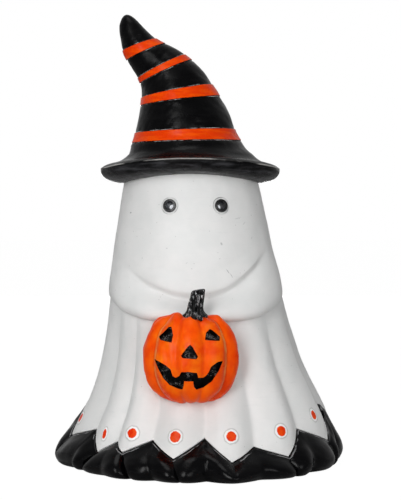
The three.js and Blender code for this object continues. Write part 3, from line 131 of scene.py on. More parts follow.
# Share of the way up the stem, share of the way out from its radius to the collar's
STEM_FLARE = np.array([
    [-0.05, 1], [0.2, 1], [0.28, 0.5], [0.38, 0.14], [0.58, 0], [0.82, -0.12], [1, -0.2],
])
EYE_HEIGHT = 174.3
EYES = {"left": -17.1, "right": 23.6}
EYE_RECESS_RADIUS, EYE_RECESS_DEPTH, BORE_END = 5.6, 0.6, -9.3
CLIP_FLANGE_RADIUS, CLIP_FLANGE_THICKNESS, CLIP_BARREL_RADIUS = 4.4, 1.3, 3.6
CLIP_FOOT, CLIP_BACK = -0.3, -5.3
LED_RADIUS, LED_RIM_RADIUS, LED_RIM_THICKNESS, LED_BACK, LED_LENGTH = 2.5, 2.95, 1, -6.6, 8.7
LEAD_RADIUS, LEAD_SPACING, LEAD_START, LEAD_END = 0.3, 2.54, -6.75, -15.6

# Small forms that only the dressed model has

# Painted dots above the hem: azimuth in degrees, height, radius of the orange middle, width over height
DOTS = [
    (-83.5, 38, 3, 0.8), (-76, 31.3, 3.1, 0.8), (-49.3, 25.2, 3, 0.5), (-32, 28.2, 3.2, 1),
    (-12, 27.6, 3.5, 1), (11.7, 27.9, 3.1, 1), (35.5, 29.3, 3.2, 1), (61.5, 35.6, 3.1, 0.7),
    (98, 36, 3.1, 1), (117, 33, 3.1, 1), (135, 30, 3.2, 1), (157, 28, 3, 1), (180, 27.5, 3.1, 1),
    (202, 29, 3.2, 1), (224, 31, 3.1, 1), (245, 33.5, 3, 1),
]
# Radius of a dot's white ring, height of its paint, how far inside and outside the ring its edge slopes
DOT_RING, DOT_RELIEF, DOT_EDGE = 4.75, 0.32, (0.9, 0.5)
# Ledge of the underskirt below the hem, and below a high hem, with the heights over which it widens
RIM_LEDGE, HIGH_RIM_LEDGE, HIGH_RIM = 1.9, 5, (29, 38)
# Share of the way down over which the ledge begins
LEDGE_START = (-0.01, 0.02)
# Scratches and pits in the front of the robe: x, height, half length, half width, tilt in degrees, darkness
ROBE_MARKS = [
    (13.7, 149.4, 1.2, 0.7, 120, 0.5), (17.9, 131.4, 2, 0.28, -55, 0.75), (20.3, 128.6, 2.1, 0.25, -60, 0.6),
    (-46.5, 169.6, 0.8, 0.6, 20, 0.7), (24.5, 166, 2.6, 0.3, 15, 0.35), (28.8, 162.6, 1.6, 0.3, 50, 0.35),
    (-22, 146.5, 0.6, 0.5, 0, 0.35), (34, 153, 1.2, 0.25, 80, 0.4), (-9, 137, 0.9, 0.3, 30, 0.3),
]
# How far a mark's middle lies in front of the figure's axis, and how deep it reaches
MARK_FORWARD, MARK_REACH = 50, 60
SPECK_SPACING = 5.5
# Crease over the sleeves: azimuth to which it is sharp, azimuths left and right at which it ends
CREASE_SHARP, CREASE_END_LEFT, CREASE_END_RIGHT = 20, 52, 66
# Rise of the lip above the crease, depth of the tuck below it, distances over which both fade
LIP_RISE, LIP_FADE, TUCK_DEPTH, TUCK_FADE = 1.2, (2, 14), 4.8, (3.5, 13)
# Distances above the sleeves' top between which the tuck turns into the lip
CREASE_STEP = (-4.5, 2)
# Rows that round the edge of the hem: distance from the outside, lift; lift of the outermost row
HEM_ROUNDING = [(-1.2, 0), (-0.6, 0), (-0.25, 0.1), (-0.05, 0.35)]
HEM_LIFT = 0.7
# Rows inside the robe: shares of the crown's height, heights below it, least height over the hem
INNER_CROWN, INNER_HEIGHTS, INNER_LIP = (0.9, 0.68, 0.35), (HEAD_BASE, 130, 75, SPIGOT_HEIGHT), 2
# Section of the recess round an eye: distance outside its radius, height over the face of the robe
RECESS_SECTION = [(-0.3, -EYE_RECESS_DEPTH), (0, -0.3), (0, -0.15), (0.35, 0.2), (0.9, 4)]
# Layers of unevenness: height and wavelength in mm, seed of the random draw
ROBE_UNEVEN = [(0.2, 24, 3), (0.05, 8, 4)]
SKIRT_UNEVEN = [(0.7, 26, 11), (0.12, 9, 12)]
BRIM_UNEVEN = [(0.22, 20, 23)]
CROWN_UNEVEN = [(0.2, 17, 21), (0.06, 6, 22)]
PUMPKIN_UNEVEN = [(0.4, 21, 31), (0.14, 7, 32)]
# How far the uneven surfaces are sunk, and how fast the skirt's unevenness grows from its two edges
SKIRT_SINK, PUMPKIN_SINK = 0.4, 0.25
HEM_GROWTH, FOOT_GROWTH = 5, 8
# Waves in a ripple, and the spread of their lengths
RIPPLE_WAVES, RIPPLE_SPREAD = 7, (0.7, 1.6)
# Roll on the edge of the brim: height, half width, how far it stands out, how much it leans up
ROLL_HEIGHT, ROLL_WIDTH, ROLL_RISE, ROLL_LEAN = 199.2, 0.7, 0.5, 0.35
# Heights over which the brim's unevenness begins, height of its upper face
BRIM_START, BRIM_FACE = (190, 192), 200.2
# Mark from which the brim's underside is counted, and mark of what has no painted edge near it
BRIM_MARK, FAR = 20, 9.0
# Hollow between brim and crown, as a share of their distance
HAT_HOLLOW = 0.12
# Slope beside a band; depth, distance and width of the groove scored round it
BAND_SLOPE, SCORE_DEPTH, SCORE_DISTANCE, SCORE_WIDTH = 0.35, 0.25, 0.7, 0.4
# Rows of the hat's mesh: heights on the brim, distance on the crown, shares of the rounded tip
BRIM_ROWS, CROWN_ROW = [(189.6, 198, 26), (198.5, 209.4, 22)], 0.75
TIP_ROWS = (0.12, 0.26, 0.42, 0.58, 0.73, 0.86, 0.95, 0.99)
# Rows of the robe's mesh below, on and above the sleeves and on the crown, and those of its tools
ROBE_ROWS, TOOL_ROWS = (72, 44, 58, 12), (20, 24, 20, 12)
# Powers that space the rows below, on and above the sleeves
ROW_SPACING = (0.9, 1.4, 1.15)
COLUMNS_PER_HALF_FOLD, TOOL_COLUMNS, HEAD_COLUMNS = 16, 8, 4
HAT_COLUMNS = 256
PUMPKIN_COLUMNS, PUMPKIN_ROWS = 300, 200
STEM_COLUMNS, STEM_ROWS = 144, 60
CLIP_SIDES, BORE_SIDES, LENS_SIDES, CUP_SIDES, CHIP_SIDES, LEAD_SIDES = 72, 64, 64, 40, 24, 12
# Angle left open at the poles of the pumpkin, gap between it and the stem
POLE, STEM_GAP = 1e-9, 0.35
# Lumps on the shoulders of the pumpkin: sideways from its middle, height of the lump, its half width
SHOULDER_LUMPS = [(-21.5, 0.9, 4), (-8.5, 2.4, 4), (18, 1.8, 4.5)]
SHOULDER_START = (14, 25)
# Share of the half width from which the pumpkin's grooves count in full, and how much they do before it
OUTER_GROOVES, MIDDLE_GROOVES = 0.45, 0.72
# Stem's top: share over which its edge is rounded, by how much, rows on it as (share, lift), its middle
STEM_EDGE, STEM_EDGE_ROUNDING = (0.96, 1.0), 0.5
STEM_TOP, STEM_TOP_MIDDLE = [(0.75, 0.25), (0.45, 0.1), (0.2, -0.15)], -0.2
# Slow and fast unevenness round the stem: share of its radius, waves all round, turn on the way up
STEM_UNEVEN = [(0.05, 3, 4), (0.02, 17, -9)]
# Sections inside the light-emitting diode, as (radius, height)
CUP_SECTION = [(0, -4.4), (0.95, -4.4), (0.95, -2.6), (1.35, -1.9), (1.15, -1.9), (0.75, -2.5), (0, -2.5)]
CHIP_SECTION = [(0, -2.48), (0.55, -2.48), (0.55, -2.2), (0.35, -1.95), (0, -1.9)]
CLIP_GAP, CLIP_ROUNDING, CLIP_BEVEL, CLIP_FOOT_BEVEL = 0.3, 0.6, 0.2, 0.15
BEVEL_WIDTH, BEVEL_ANGLE = 0.25, 40
BEVELLED = ("base_plate", "battery_box", "battery_door", "switch_knob", "switch_housing")


# Mesh tools

def along(table, column, at):
    """Smooth value of one column of a table whose first column rises."""
    table = np.asarray(table, float)
    x, y = table[:, 0], table[:, column]
    last = len(x) - 1
    below, above = np.maximum(np.arange(last + 1) - 1, 0), np.minimum(np.arange(last + 1) + 1, last)
    slope = (y[above] - y[below]) / (x[above] - x[below])
    spot = np.clip(at, x[0], x[-1])
    row = np.clip(np.searchsorted(x, spot, side="left") - 1, 0, last - 1)
    span = x[row + 1] - x[row]
    t = (spot - x[row]) / span
    rise = t * t * (3 - 2 * t) * (y[row + 1] - y[row])
    return y[row] + rise + t * (1 - t) ** 2 * span * slope[row] + t * t * (t - 1) * span * slope[row + 1]


def smoothstep(value, low, high):
    t = np.clip((value - low) / (high - low), 0, 1)
    return t * t * (3 - 2 * t)


def lerp(start, end, share):
    return start + (end - start) * share


def stack(x, y, z):
    return np.stack(np.broadcast_arrays(x, y, z), axis=-1).astype(float)


def ripple(points, wavelength, seed):
    """Smooth unevenness between about -1 and 1 at points in mm."""
    rng = np.random.default_rng(seed)
    total = np.zeros(points.shape[:-1])
    for _ in range(RIPPLE_WAVES):
        direction = rng.normal(size=3)
        direction /= np.linalg.norm(direction)
        length = wavelength * rng.uniform(*RIPPLE_SPREAD)
        total += np.sin(points @ direction * (2 * math.pi / length) + rng.uniform(0, 2 * math.pi))
    return total / math.sqrt(RIPPLE_WAVES)


def uneven(points, layers):
    return sum(height * ripple(points, wavelength, seed) for height, wavelength, seed in layers)


def turns(sides):
    return np.arange(sides) * (2 * math.pi / sides)


def tip(x, height):
    """A single point on the middle plane, which closes a row of rings."""
    return np.array([[x, 0, height]], float)


def rib(turn):
    """1 on a rib or fold, close to 0 in the valley between two of them."""
    return np.sqrt(np.cos(turn) ** 2 * (1 - FOLD_SOFTNESS) + FOLD_SOFTNESS)


def skin(name, rings, looped=False, crease=40):
    """Closed mesh over rings of points in mm, from below upwards outside and downwards inside."""
    rings = [np.atleast_2d(ring) for ring in rings]
    starts = np.cumsum([0] + [len(ring) for ring in rings])
    count = max(len(ring) for ring in rings)
    step = np.arange(count)
    follow = (step + 1) % count
    faces = []
    for row in range(len(rings) - (0 if looped else 1)):
        other = (row + 1) % len(rings)
        here, there = starts[row], starts[other]
        if len(rings[row]) == 1:
            faces += np.stack([np.full(count, here), there + follow, there + step], 1).tolist()
        elif len(rings[other]) == 1:
            faces += np.stack([here + step, here + follow, np.full(count, there)], 1).tolist()
        else:
            faces += np.stack([here + step, here + follow, there + follow, there + step], 1).tolist()
    return solid(name, np.concatenate(rings), faces, crease)


def add(name, data):
    """New object in the scene."""
    thing = bpy.data.objects.new(name, data)
    bpy.context.scene.collection.objects.link(thing)
    return thing


def solid(name, points, faces, crease=40):
    mesh = bpy.data.meshes.new(name)
    mesh.from_pydata((np.asarray(points) * MM).tolist(), [], faces)
    mesh.validate()
    shade(mesh, crease)
    return add(name, mesh)


def shade(mesh, crease):
    mesh.polygons.foreach_set("use_smooth", [True] * len(mesh.polygons))
    mesh.set_sharp_from_angle(angle=math.radians(crease))


def turned(name, profile, place, sides, looped=False):
    """Solid of revolution from (radius, height) pairs that run up the outside."""
    angle = turns(sides)
    rings = [
        stack(np.sin(angle) * radius, -np.cos(angle) * radius, height) if radius > 0 else tip(0, height)
        for radius, height in profile
    ]
    piece = skin(name, rings, looped)
    piece.data.transform(Matrix.Diagonal((1 / MM, 1 / MM, 1 / MM, 1)))
    piece.data.transform(place)
    piece.data.transform(Matrix.Diagonal((MM, MM, MM, 1)))
    return piece


def cut(piece, *tools, crease=40):
    """Takes the tools' solids out of a piece, and removes them."""
    for tool in tools:
        modifier = piece.modifiers.new("cut", "BOOLEAN")
        modifier.operation, modifier.solver, modifier.object = "DIFFERENCE", "MANIFOLD", tool
    bpy.context.view_layer.update()
    whole = piece.evaluated_get(bpy.context.evaluated_depsgraph_get())
    mesh = bpy.data.meshes.new_from_object(whole)
    piece.modifiers.clear()
    old, piece.data = piece.data, mesh
    mesh.name = piece.name
    bpy.data.meshes.remove(old)
    for tool in tools:
        bpy.data.objects.remove(tool)
    shade(mesh, crease)
    return piece


def points_of(piece):
    """A piece's vertices in mm."""
    flat = np.empty(len(piece.data.vertices) * 3)
    piece.data.vertices.foreach_get("co", flat)
    return flat.reshape(-1, 3) / MM


def mark(piece, name, values):
    """Stores a number per vertex for the paint to read."""
    layer = piece.data.attributes.new(name, "FLOAT", "POINT")
    layer.data.foreach_set("value", np.ascontiguousarray(values, dtype=np.float32))


# Materials

class Nodes:
    """Makes the nodes of a tree and links them, one call for each node."""

    def __init__(self, tree):
        self.tree = tree

    def feed(self, socket, value):
        if hasattr(value, "is_linked"):
            self.tree.links.new(value, socket)
        else:
            socket.default_value = value

    def node(self, kind, inputs=(), output=0, **settings):
        """One output of a new node, whose inputs are values or the outputs of other nodes."""
        node = self.tree.nodes.new("ShaderNode" + kind)
        for key, value in settings.items():
            setattr(node, key, value)
        for key, value in dict(inputs).items():
            self.feed(node.inputs[key], value)
        return node.outputs[output] if len(node.outputs) else None

    def math(self, operation, first, second=0.0):
        return self.node("Math", {0: first, 1: second}, operation=operation)

    def times(self, first, second):
        return self.math("MULTIPLY", first, second)

    def between(self, value, low, high, start=0.0, end=1.0):
        """Goes smoothly from start to end while the value goes from low to high."""
        inputs = {"Value": value, 1: low, 2: high, 3: start, 4: end}
        return self.node("MapRange", inputs, interpolation_type="SMOOTHSTEP")


class Paint(Nodes):
    """A procedural material: a Principled shader and the nodes that drive it."""

    def __init__(self, name, colour, roughness, **sockets):
        self.material = bpy.data.materials.new(name)
        self.material.use_nodes = True
        super().__init__(self.material.node_tree)
        self.shader = self.tree.nodes["Principled BSDF"]
        self.coordinates = self.node("TexCoord", output="Object")
        self.colour = colour
        self.set("Base Color", (*colour, 1))
        self.set("Roughness", roughness)
        for socket, value in sockets.items():
            self.set(socket.replace("_", " "), value)

    def set(self, socket, value):
        self.feed(self.shader.inputs[socket], value)

    def noise(self, size, detail=3, stretch=(1, 1, 1), roughness=0.5, distortion=0):
        """Noise with features of about that size in mm, longer along an axis that is stretched below 1."""
        place = self.coordinates
        if stretch != (1, 1, 1):
            place = self.node("VectorMath", {0: place, 1: stretch}, operation="MULTIPLY")
        inputs = {"Vector": place, "Scale": 1 / (size * MM), "Detail": detail}
        return self.node("TexNoise", inputs | {"Roughness": roughness, "Distortion": distortion})

    def wander(self, size, amount, detail=2):
        """Unevenness with features of about that size in mm, up to half the amount either way."""
        return self.times(self.math("SUBTRACT", self.noise(size, detail), 0.5), amount)

    def line(self, value, middle, inner, outer):
        """1 where a value is within inner of the middle, 0 beyond outer."""
        return self.between(self.math("ABSOLUTE", self.math("SUBTRACT", value, middle)), inner, outer, 1, 0)

    def blend(self, share, first, second):
        """Goes from one number to another."""
        return self.node("Mix", {0: share, 2: first, 3: second})

    def mix(self, share, first, second):
        """Goes from one colour to another."""
        first, second = (value if hasattr(value, "is_linked") else (*value, 1) for value in (first, second))
        return self.node("Mix", {0: share, 6: first, 7: second}, 2, data_type="RGBA")

    def cover(self, share, colour):
        """Lays a colour, as display values or from other nodes, over what is painted so far."""
        colour = linear(*colour) if isinstance(colour, tuple) else colour
        self.colour = self.mix(share, self.colour, colour)
        self.set("Base Color", self.colour)

    def attribute(self, name):
        return self.node("Attribute", output="Fac", attribute_name=name)

    def bump(self, *layers):
        """Layers of (height, depth in mm) on top of each other."""
        normal = None
        for height, depth in layers:
            inputs = {"Height": height, "Strength": 1.0, "Distance": depth * MM}
            if normal is not None:
                inputs["Normal"] = normal
            normal = self.node("Bump", inputs)
        self.set("Normal", normal)


def linear(*srgb):
    """Linear colour from 0..255 display values."""
    return tuple(((v / 255 + 0.055) / 1.055) ** 2.4 if v > 10 else v / 255 / 12.92 for v in srgb)


WHITE_PAINT, ORANGE_PAINT, BLACK_PAINT = linear(229, 229, 227), linear(244, 78, 0), linear(11, 11, 12)
INK = linear(3, 3, 4)
WORN_INK = (8, 8, 9)


def robe_paint():
    """Satin white paint with faint brush strokes, specks, marks and the dots above the hem, a painted shadow
    line round each dot and painted shade along the edge of each eye's recess.
    """
    paint = Paint("white_painted_resin", WHITE_PAINT, 0.5)
    strokes = paint.noise(2.2, 4, (0.16, 0.16, 1), 0.6)
    mottle = paint.noise(14, 4, roughness=0.6)
    paint.colour = linear(229, 230, 229)
    paint.cover(paint.between(mottle, 0.32, 0.68), (234, 234, 233))
    paint.cover(paint.between(strokes, 0.58, 0.78, 0, 0.3), (216, 217, 217))
    cells = paint.node("TexVoronoi", {"Vector": paint.coordinates, "Scale": 1 / (SPECK_SPACING * MM)})
    paint.cover(paint.between(cells, 0.035, 0.06, 0.55, 0), (120, 118, 114))
    wander = paint.wander(2.5, 0.3)
    # Painted shadow: a thin grey line just outside each dot's white ring.
    edge = paint.math("ADD", paint.attribute("dot"), wander)
    rim = paint.times(paint.between(edge, 0.9, 1.0), paint.between(edge, 1.02, 1.2, 1, 0))
    paint.cover(paint.times(rim, 0.45), (150, 150, 148))
    paint.cover(paint.between(edge, 0.9, 1.0, 1, 0), (248, 248, 247))
    # Painted shade: a thin grey line along the edge of each eye's recess, broken by noise.
    eye = paint.math("ADD", paint.attribute("eye"), paint.times(wander, 0.8))
    groove = paint.times(paint.between(eye, 5.1, 5.5), paint.between(eye, 5.6, 6.1, 1, 0))
    groove = paint.times(groove, paint.between(paint.noise(6, 2), 0.4, 0.6, 0.15, 0.7))
    paint.cover(groove, (120, 122, 124))
    for x, height, long, wide, tilt, dark in ROBE_MARKS:
        inputs = {"Vector": paint.coordinates, "Location": Vector((x, -MARK_FORWARD, height)) * MM}
        inputs |= {"Rotation": (0, math.radians(-tilt), 0), "Scale": Vector((long, MARK_REACH, wide)) * MM}
        place = paint.node("Mapping", inputs, vector_type="TEXTURE")
        inside = paint.node("VectorMath", {0: place}, 1, operation="LENGTH")
        paint.cover(paint.between(inside, 0.5, 1.1, dark, 0), (142, 143, 145))
    middle = paint.math("ADD", paint.attribute("dot_middle"), paint.wander(3, 1.6))
    middle = paint.between(middle, 0, 0.22, 1, 0)
    orange = paint.mix(paint.between(paint.noise(3.5), 0.4, 0.65), linear(228, 48, 2), linear(240, 76, 14))
    paint.cover(middle, orange)
    paint.set("Roughness", paint.blend(middle, paint.between(mottle, 0.3, 0.7, 0.46, 0.56), 0.3))
    paint.set("Specular IOR Level", paint.blend(middle, 0.5, 0.1))
    paint.bump((strokes, 0.07), (mottle, 0.06), (paint.noise(0.8, 2), 0.03))
    return paint.material


def black_paint(name, roughness, specular, stroke, grain=(0.16, 0.16, 1)):
    """Glossy black paint and its brush strokes, whose depth is given in mm."""
    paint = Paint(name, BLACK_PAINT, roughness, Specular_IOR_Level=specular)
    strokes, wide = paint.noise(2.6, 4, grain, 0.62), paint.noise(11)
    paint.set("Roughness", paint.between(wide, 0.32, 0.7, roughness * 0.8, roughness * 1.35))
    paint.bump((strokes, stroke), (wide, stroke * 4), (paint.noise(0.9, 2), stroke * 0.3))
    paint.colour = INK
    return paint, strokes


def skirt_paint():
    """Glossy black paint with a broken painted highlight line along the rim under the hem."""
    paint, strokes = black_paint("black_painted_skirt", 0.2, 0.12, 0.08)
    paint.cover(paint.between(strokes, 0.42, 0.72), (9, 9, 11))
    # Painted highlight: a broken light line along the rim a little below the hem.
    below = paint.math("ADD", paint.attribute("rim"), paint.times(paint.noise(4), 1.2))
    rim = paint.times(paint.line(below, 1.3, 0.12, 0.4), paint.between(paint.noise(11), 0.46, 0.56))
    paint.cover(paint.times(rim, 0.55), (170, 170, 172))
    return paint.material


def stem_paint():
    """Black paint with the ridges of the stem caught in thin painted highlight streaks."""
    paint, _ = black_paint("black_painted_stem", 0.16, 0.2, 0.35, (1, 1, 0.15))
    # Painted highlights: thin light streaks along the stem's ridges.
    painted_highlight_streaks = paint.line(paint.noise(1.5, 3, (1, 1, 0.12), 0.6), 0.53, 0.004, 0.03)
    painted_highlight_streaks = paint.times(painted_highlight_streaks, paint.between(paint.noise(4, 2), 0.46, 0.58, 0, 0.95))
    paint.cover(painted_highlight_streaks, (226, 227, 229))
    return paint.material


def hat_paint():
    """Black paint on the hat, lightened under the brim by a painted reflection, with painted highlights
    along the band edges and the brim's rim, and the orange bands between scored edges.
    """
    paint, strokes = black_paint("black_painted_hat", 0.28, 0.09, 0.14)
    apart = paint.attribute("band")
    edge = paint.math("ADD", apart, paint.wander(6, 0.5, 3))
    paint.cover(paint.between(strokes, 0.42, 0.72), WORN_INK)
    # Painted reflection: lighter grey over the brim's underside and outer face.
    painted_underside_reflection = paint.mix(paint.between(strokes, 0.38, 0.78), linear(*WORN_INK), linear(66, 66, 69))
    paint.cover(paint.between(apart, BRIM_MARK + 1, BRIM_MARK + 4), painted_underside_reflection)
    # Painted highlights: broken light lines along the band edges and along the top of the brim's rim.
    broken = paint.between(paint.noise(5, 5, (0.5, 0.5, 1), 0.7), 0.46, 0.6, 0, 0.75)
    painted_glint = paint.times(paint.line(edge, 0.5, 0.06, 0.28), broken)
    rim = paint.line(apart, BRIM_MARK + 0.9, 0.25, 0.7)
    rim = paint.times(rim, paint.between(paint.noise(34), 0.44, 0.56, 0, 0.6))
    paint.cover(paint.times(paint.math("MAXIMUM", painted_glint, rim), 0.85), (214, 212, 208))
    orange = paint.mix(paint.between(strokes, 0.4, 0.7), linear(228, 58, 0), linear(242, 82, 0))
    paint.cover(paint.between(edge, -0.1, 0.1, 1, 0), orange)
    return paint.material


def pumpkin_paint():
    """Orange paint, darker in the grooves with painted highlights along their edges, a painted yellow
    highlight round the carved face, and black inside it with painted glints.
    """
    paint = Paint("orange_painted_pumpkin", ORANGE_PAINT, 0.3, Specular_IOR_Level=0.1)
    strokes, mottle = paint.noise(2.4, 4, (1, 1, 0.22), 0.6), paint.noise(13)
    groove, patches, face = paint.attribute("groove"), paint.noise(9), paint.attribute("carved")
    paint.colour = linear(238, 62, 0)
    paint.cover(paint.between(mottle, 0.34, 0.66), (255, 90, 0))
    paint.cover(paint.between(strokes, 0.55, 0.8, 0, 0.45), (255, 132, 20))
    paint.cover(paint.between(groove, 0.3, 0.8, 0, 0.5), (220, 52, 0))
    # Painted highlights: light lines along the edges of the grooves.
    edges = paint.times(paint.between(groove, 0.68, 0.8), paint.between(patches, 0.42, 0.56, 0.25, 0.8))
    paint.cover(edges, (255, 176, 104))
    # Painted highlight: lighter yellow-orange round the carved face.
    painted_face_highlight = paint.times(paint.between(face, 1, 7, 1, 0), paint.between(patches, 0.4, 0.62, 0.1, 0.6))
    paint.cover(painted_face_highlight, (255, 128, 6))
    inside = paint.between(paint.math("ADD", face, paint.wander(3, 0.25)), 0.1, 0.2, 1, 0)
    # Painted highlights: thin light glints in the black of the carved face.
    painted_glint = paint.line(paint.noise(1.2, 5, (0.35, 0.35, 1), 0.7, 0.6), 0.5, 0.004, 0.03)
    painted_glint = paint.times(painted_glint, paint.between(paint.noise(5, 2), 0.48, 0.62))
    paint.cover(inside, paint.mix(paint.times(painted_glint, 0.6), linear(3, 3, 3), linear(168, 160, 158)))
    paint.set("Roughness", paint.blend(inside, paint.between(mottle, 0.3, 0.7, 0.26, 0.38), 0.2))
    paint.set("Specular IOR Level", paint.blend(inside, 0.1, 0.06))
    paint.bump((strokes, 0.12), (mottle, 0.3), (paint.times(paint.noise(1.6, 4), inside), 0.9))
    return paint.material


def clear_epoxy():
    """Smoky clear resin with slight waves."""
    paint = Paint("clear_epoxy", linear(168, 171, 176), 0.05, IOR=1.53, Transmission_Weight=1.0)
    paint.bump((paint.noise(6, 2), 0.02), (paint.noise(1.1), 0.12))
    return paint.material


def painted_catchlight_chip():
    """Mottled chip of a light-emitting diode that glows faintly as a painted highlight, though the diode is
    not lit.
    """
    # Painted highlight: the chip's faint glow stands in for a catch light in the eye.
    paint = Paint("painted_catchlight_chip", linear(240, 240, 236), 0.4, Emission_Strength=0.9)
    mottle = paint.noise(0.4)
    glow = paint.mix(paint.between(mottle, 0.35, 0.65), linear(214, 216, 222), linear(250, 250, 250))
    paint.set("Emission Color", glow)
    paint.bump((mottle, 0.05))
    return paint.material


def moulded_plastic(name, colour, roughness=0.42, grain=0.05):
    """Moulded plastic with fine spark-eroded grain and slight flow marks."""
    paint = Paint(name, colour, roughness)
    grains = paint.noise(0.45)
    flow = paint.noise(18, 2, (1, 0.5, 1))
    lighter = tuple(min(c * 1.6 + 0.006, 1) for c in colour)
    paint.set("Base Color", paint.mix(paint.between(flow, 0.35, 0.7), colour, lighter))
    paint.set("Roughness", paint.between(grains, 0.3, 0.7, roughness * 0.85, roughness * 1.2))
    paint.bump((grains, grain), (flow, 0.15))
    return paint.material


def plated_metal(name, colour, roughness=0.32, turn=(1, 1, 0.15)):
    """Plated steel with fine drawing marks and duller patches."""
    paint = Paint(name, colour, roughness, Metallic=1.0)
    patches = paint.noise(4)
    darker = tuple(c * 0.72 for c in colour)
    paint.set("Base Color", paint.mix(paint.between(patches, 0.4, 0.7), colour, darker))
    paint.set("Roughness", paint.between(patches, 0.35, 0.7, roughness * 0.8, roughness * 1.4))
    paint.bump((paint.noise(0.25, 3, turn), 0.02))
    return paint.material


# Robe

def hem_knots():
    """Azimuths of the hem's points and notches, with the place in the row of folds and the height."""
    knots = []
    for fold, (azimuth, height, notch, notch_height) in enumerate(HEM_POINTS):
        knots += [(azimuth, fold, height), (notch, fold + 0.5, notch_height)]
    knots.append((HEM_POINTS[0][0] + 360, len(HEM_POINTS), HEM_POINTS[0][1]))
    return np.array(knots, float)


HEM_KNOTS = hem_knots()


def columns(per_half=COLUMNS_PER_HALF_FOLD):
    """Azimuth in radians, place in its fold and height of the hem, for columns all round."""
    share = np.arange(len(HEM_POINTS) * 2 * per_half) / (2 * per_half)
    azimuth = np.interp(share, HEM_KNOTS[:, 1], HEM_KNOTS[:, 0])
    return np.radians(azimuth), share % 1, np.interp(share, HEM_KNOTS[:, 1], HEM_KNOTS[:, 2])


def column_at(degrees):
    first = HEM_KNOTS[0, 0]
    wrapped = (np.asarray(degrees, float) - first) % 360 + first
    share = np.interp(wrapped, HEM_KNOTS[:, 0], HEM_KNOTS[:, 1])
    return np.radians(wrapped), share % 1


def half_width(height, offset=0.0):
    share = np.clip((height - HEAD_BASE) / (CROWN_HEIGHT + offset), 0, 1)
    return (along(ROBE_PROFILE, 1, height) + offset) * np.sqrt(1 - share * share)


def centre_x(height):
    return along(ROBE_PROFILE, 2, height)


def sleeve_edges(azimuth):
    side = np.sin(azimuth)
    rise = lerp(SLEEVE_TOP_RISE_LEFT, SLEEVE_TOP_RISE_RIGHT, smoothstep(side, *SLEEVE_MIDDLE))
    return SLEEVE_BOTTOM + SLEEVE_BOTTOM_RISE * side ** 4, SLEEVE_TOP + rise * side ** 2


def sleeve_swell(azimuth, height):
    """Roll of cloth: fullest a quarter of the way up, tucked under at its lower edge."""
    bottom, top = sleeve_edges(azimuth)
    t = np.clip((height - bottom) / (top - bottom), 0, 1)
    roll = SLEEVE_FULLNESS * np.sqrt(t) * (1 - t) ** SLEEVE_FALL
    fade = smoothstep(np.cos(azimuth), *SLEEVE_FADE)
    return roll * fade * lerp(SLEEVE_SWELL_SIDE, SLEEVE_SWELL_FRONT, np.maximum(np.cos(azimuth), 0))


def fold_shape(azimuth, share):
    """1 on a full ridge, -1 in a valley."""
    around = (azimuth - math.radians(HEM_POINTS[0][0])) % (2 * math.pi)
    notches = np.radians([point[2] - HEM_POINTS[0][0] for point in HEM_POINTS])
    ridge = RIDGES[np.searchsorted(notches, around) % len(HEM_POINTS)]
    return (1 + ridge) * rib(math.pi * share) - 1


def robe_points(azimuth, share, height, offset=0.0, extra=0.0):
    half = half_width(height, offset)
    fold = half * along(FOLD_DEPTH, 1, height) * fold_shape(azimuth, share)
    fold = fold + sleeve_swell(azimuth, height) + extra
    x = centre_x(height) + np.sin(azimuth) * (half + fold)
    return stack(x, -np.cos(azimuth) * (half * DEPTH_RATIO + fold), height)


def inside_points(azimuth, height, inset):
    half = half_width(height, -inset) * (1 - along(FOLD_DEPTH, 1, height))
    return stack(centre_x(height) + np.sin(azimuth) * half, -np.cos(azimuth) * half * DEPTH_RATIO, height)


def dot_distances(points):
    """Distance of each point from each dot's centre, stretched sideways for the narrow ones."""
    azimuth, share = column_at([dot[0] for dot in DOTS])
    centres = robe_points(azimuth, share, np.array([dot[1] for dot in DOTS], float))
    width = np.array([dot[3] for dot in DOTS])
    apart = points[..., None, :] - centres
    sideways = apart[..., 0] * np.cos(azimuth) + apart[..., 1] * np.sin(azimuth)
    return np.sqrt((apart ** 2).sum(-1) + sideways ** 2 * (1 / width ** 2 - 1))


def robe_relief(azimuth, height, points):
    """Uneven surface, the crease over the sleeves and the thickness of the painted dots."""
    turn = np.degrees((azimuth + math.pi) % (2 * math.pi) - math.pi)
    over = height - sleeve_edges(azimuth)[1]
    end = np.where(turn < 0, CREASE_END_LEFT, CREASE_END_RIGHT)
    sharp = 1 - smoothstep(np.abs(turn), CREASE_SHARP, end)
    lip = LIP_RISE * (1 - smoothstep(over, *LIP_FADE))
    tuck = -TUCK_DEPTH * (1 - smoothstep(-over, *TUCK_FADE))
    crease = sharp * lerp(tuck, lip, smoothstep(over, *CREASE_STEP))
    distance = dot_distances(points).min(-1)
    dots = DOT_RELIEF * (1 - smoothstep(distance, DOT_RING - DOT_EDGE[0], DOT_RING + DOT_EDGE[1]))
    return crease + uneven(points, ROBE_UNEVEN) + dots


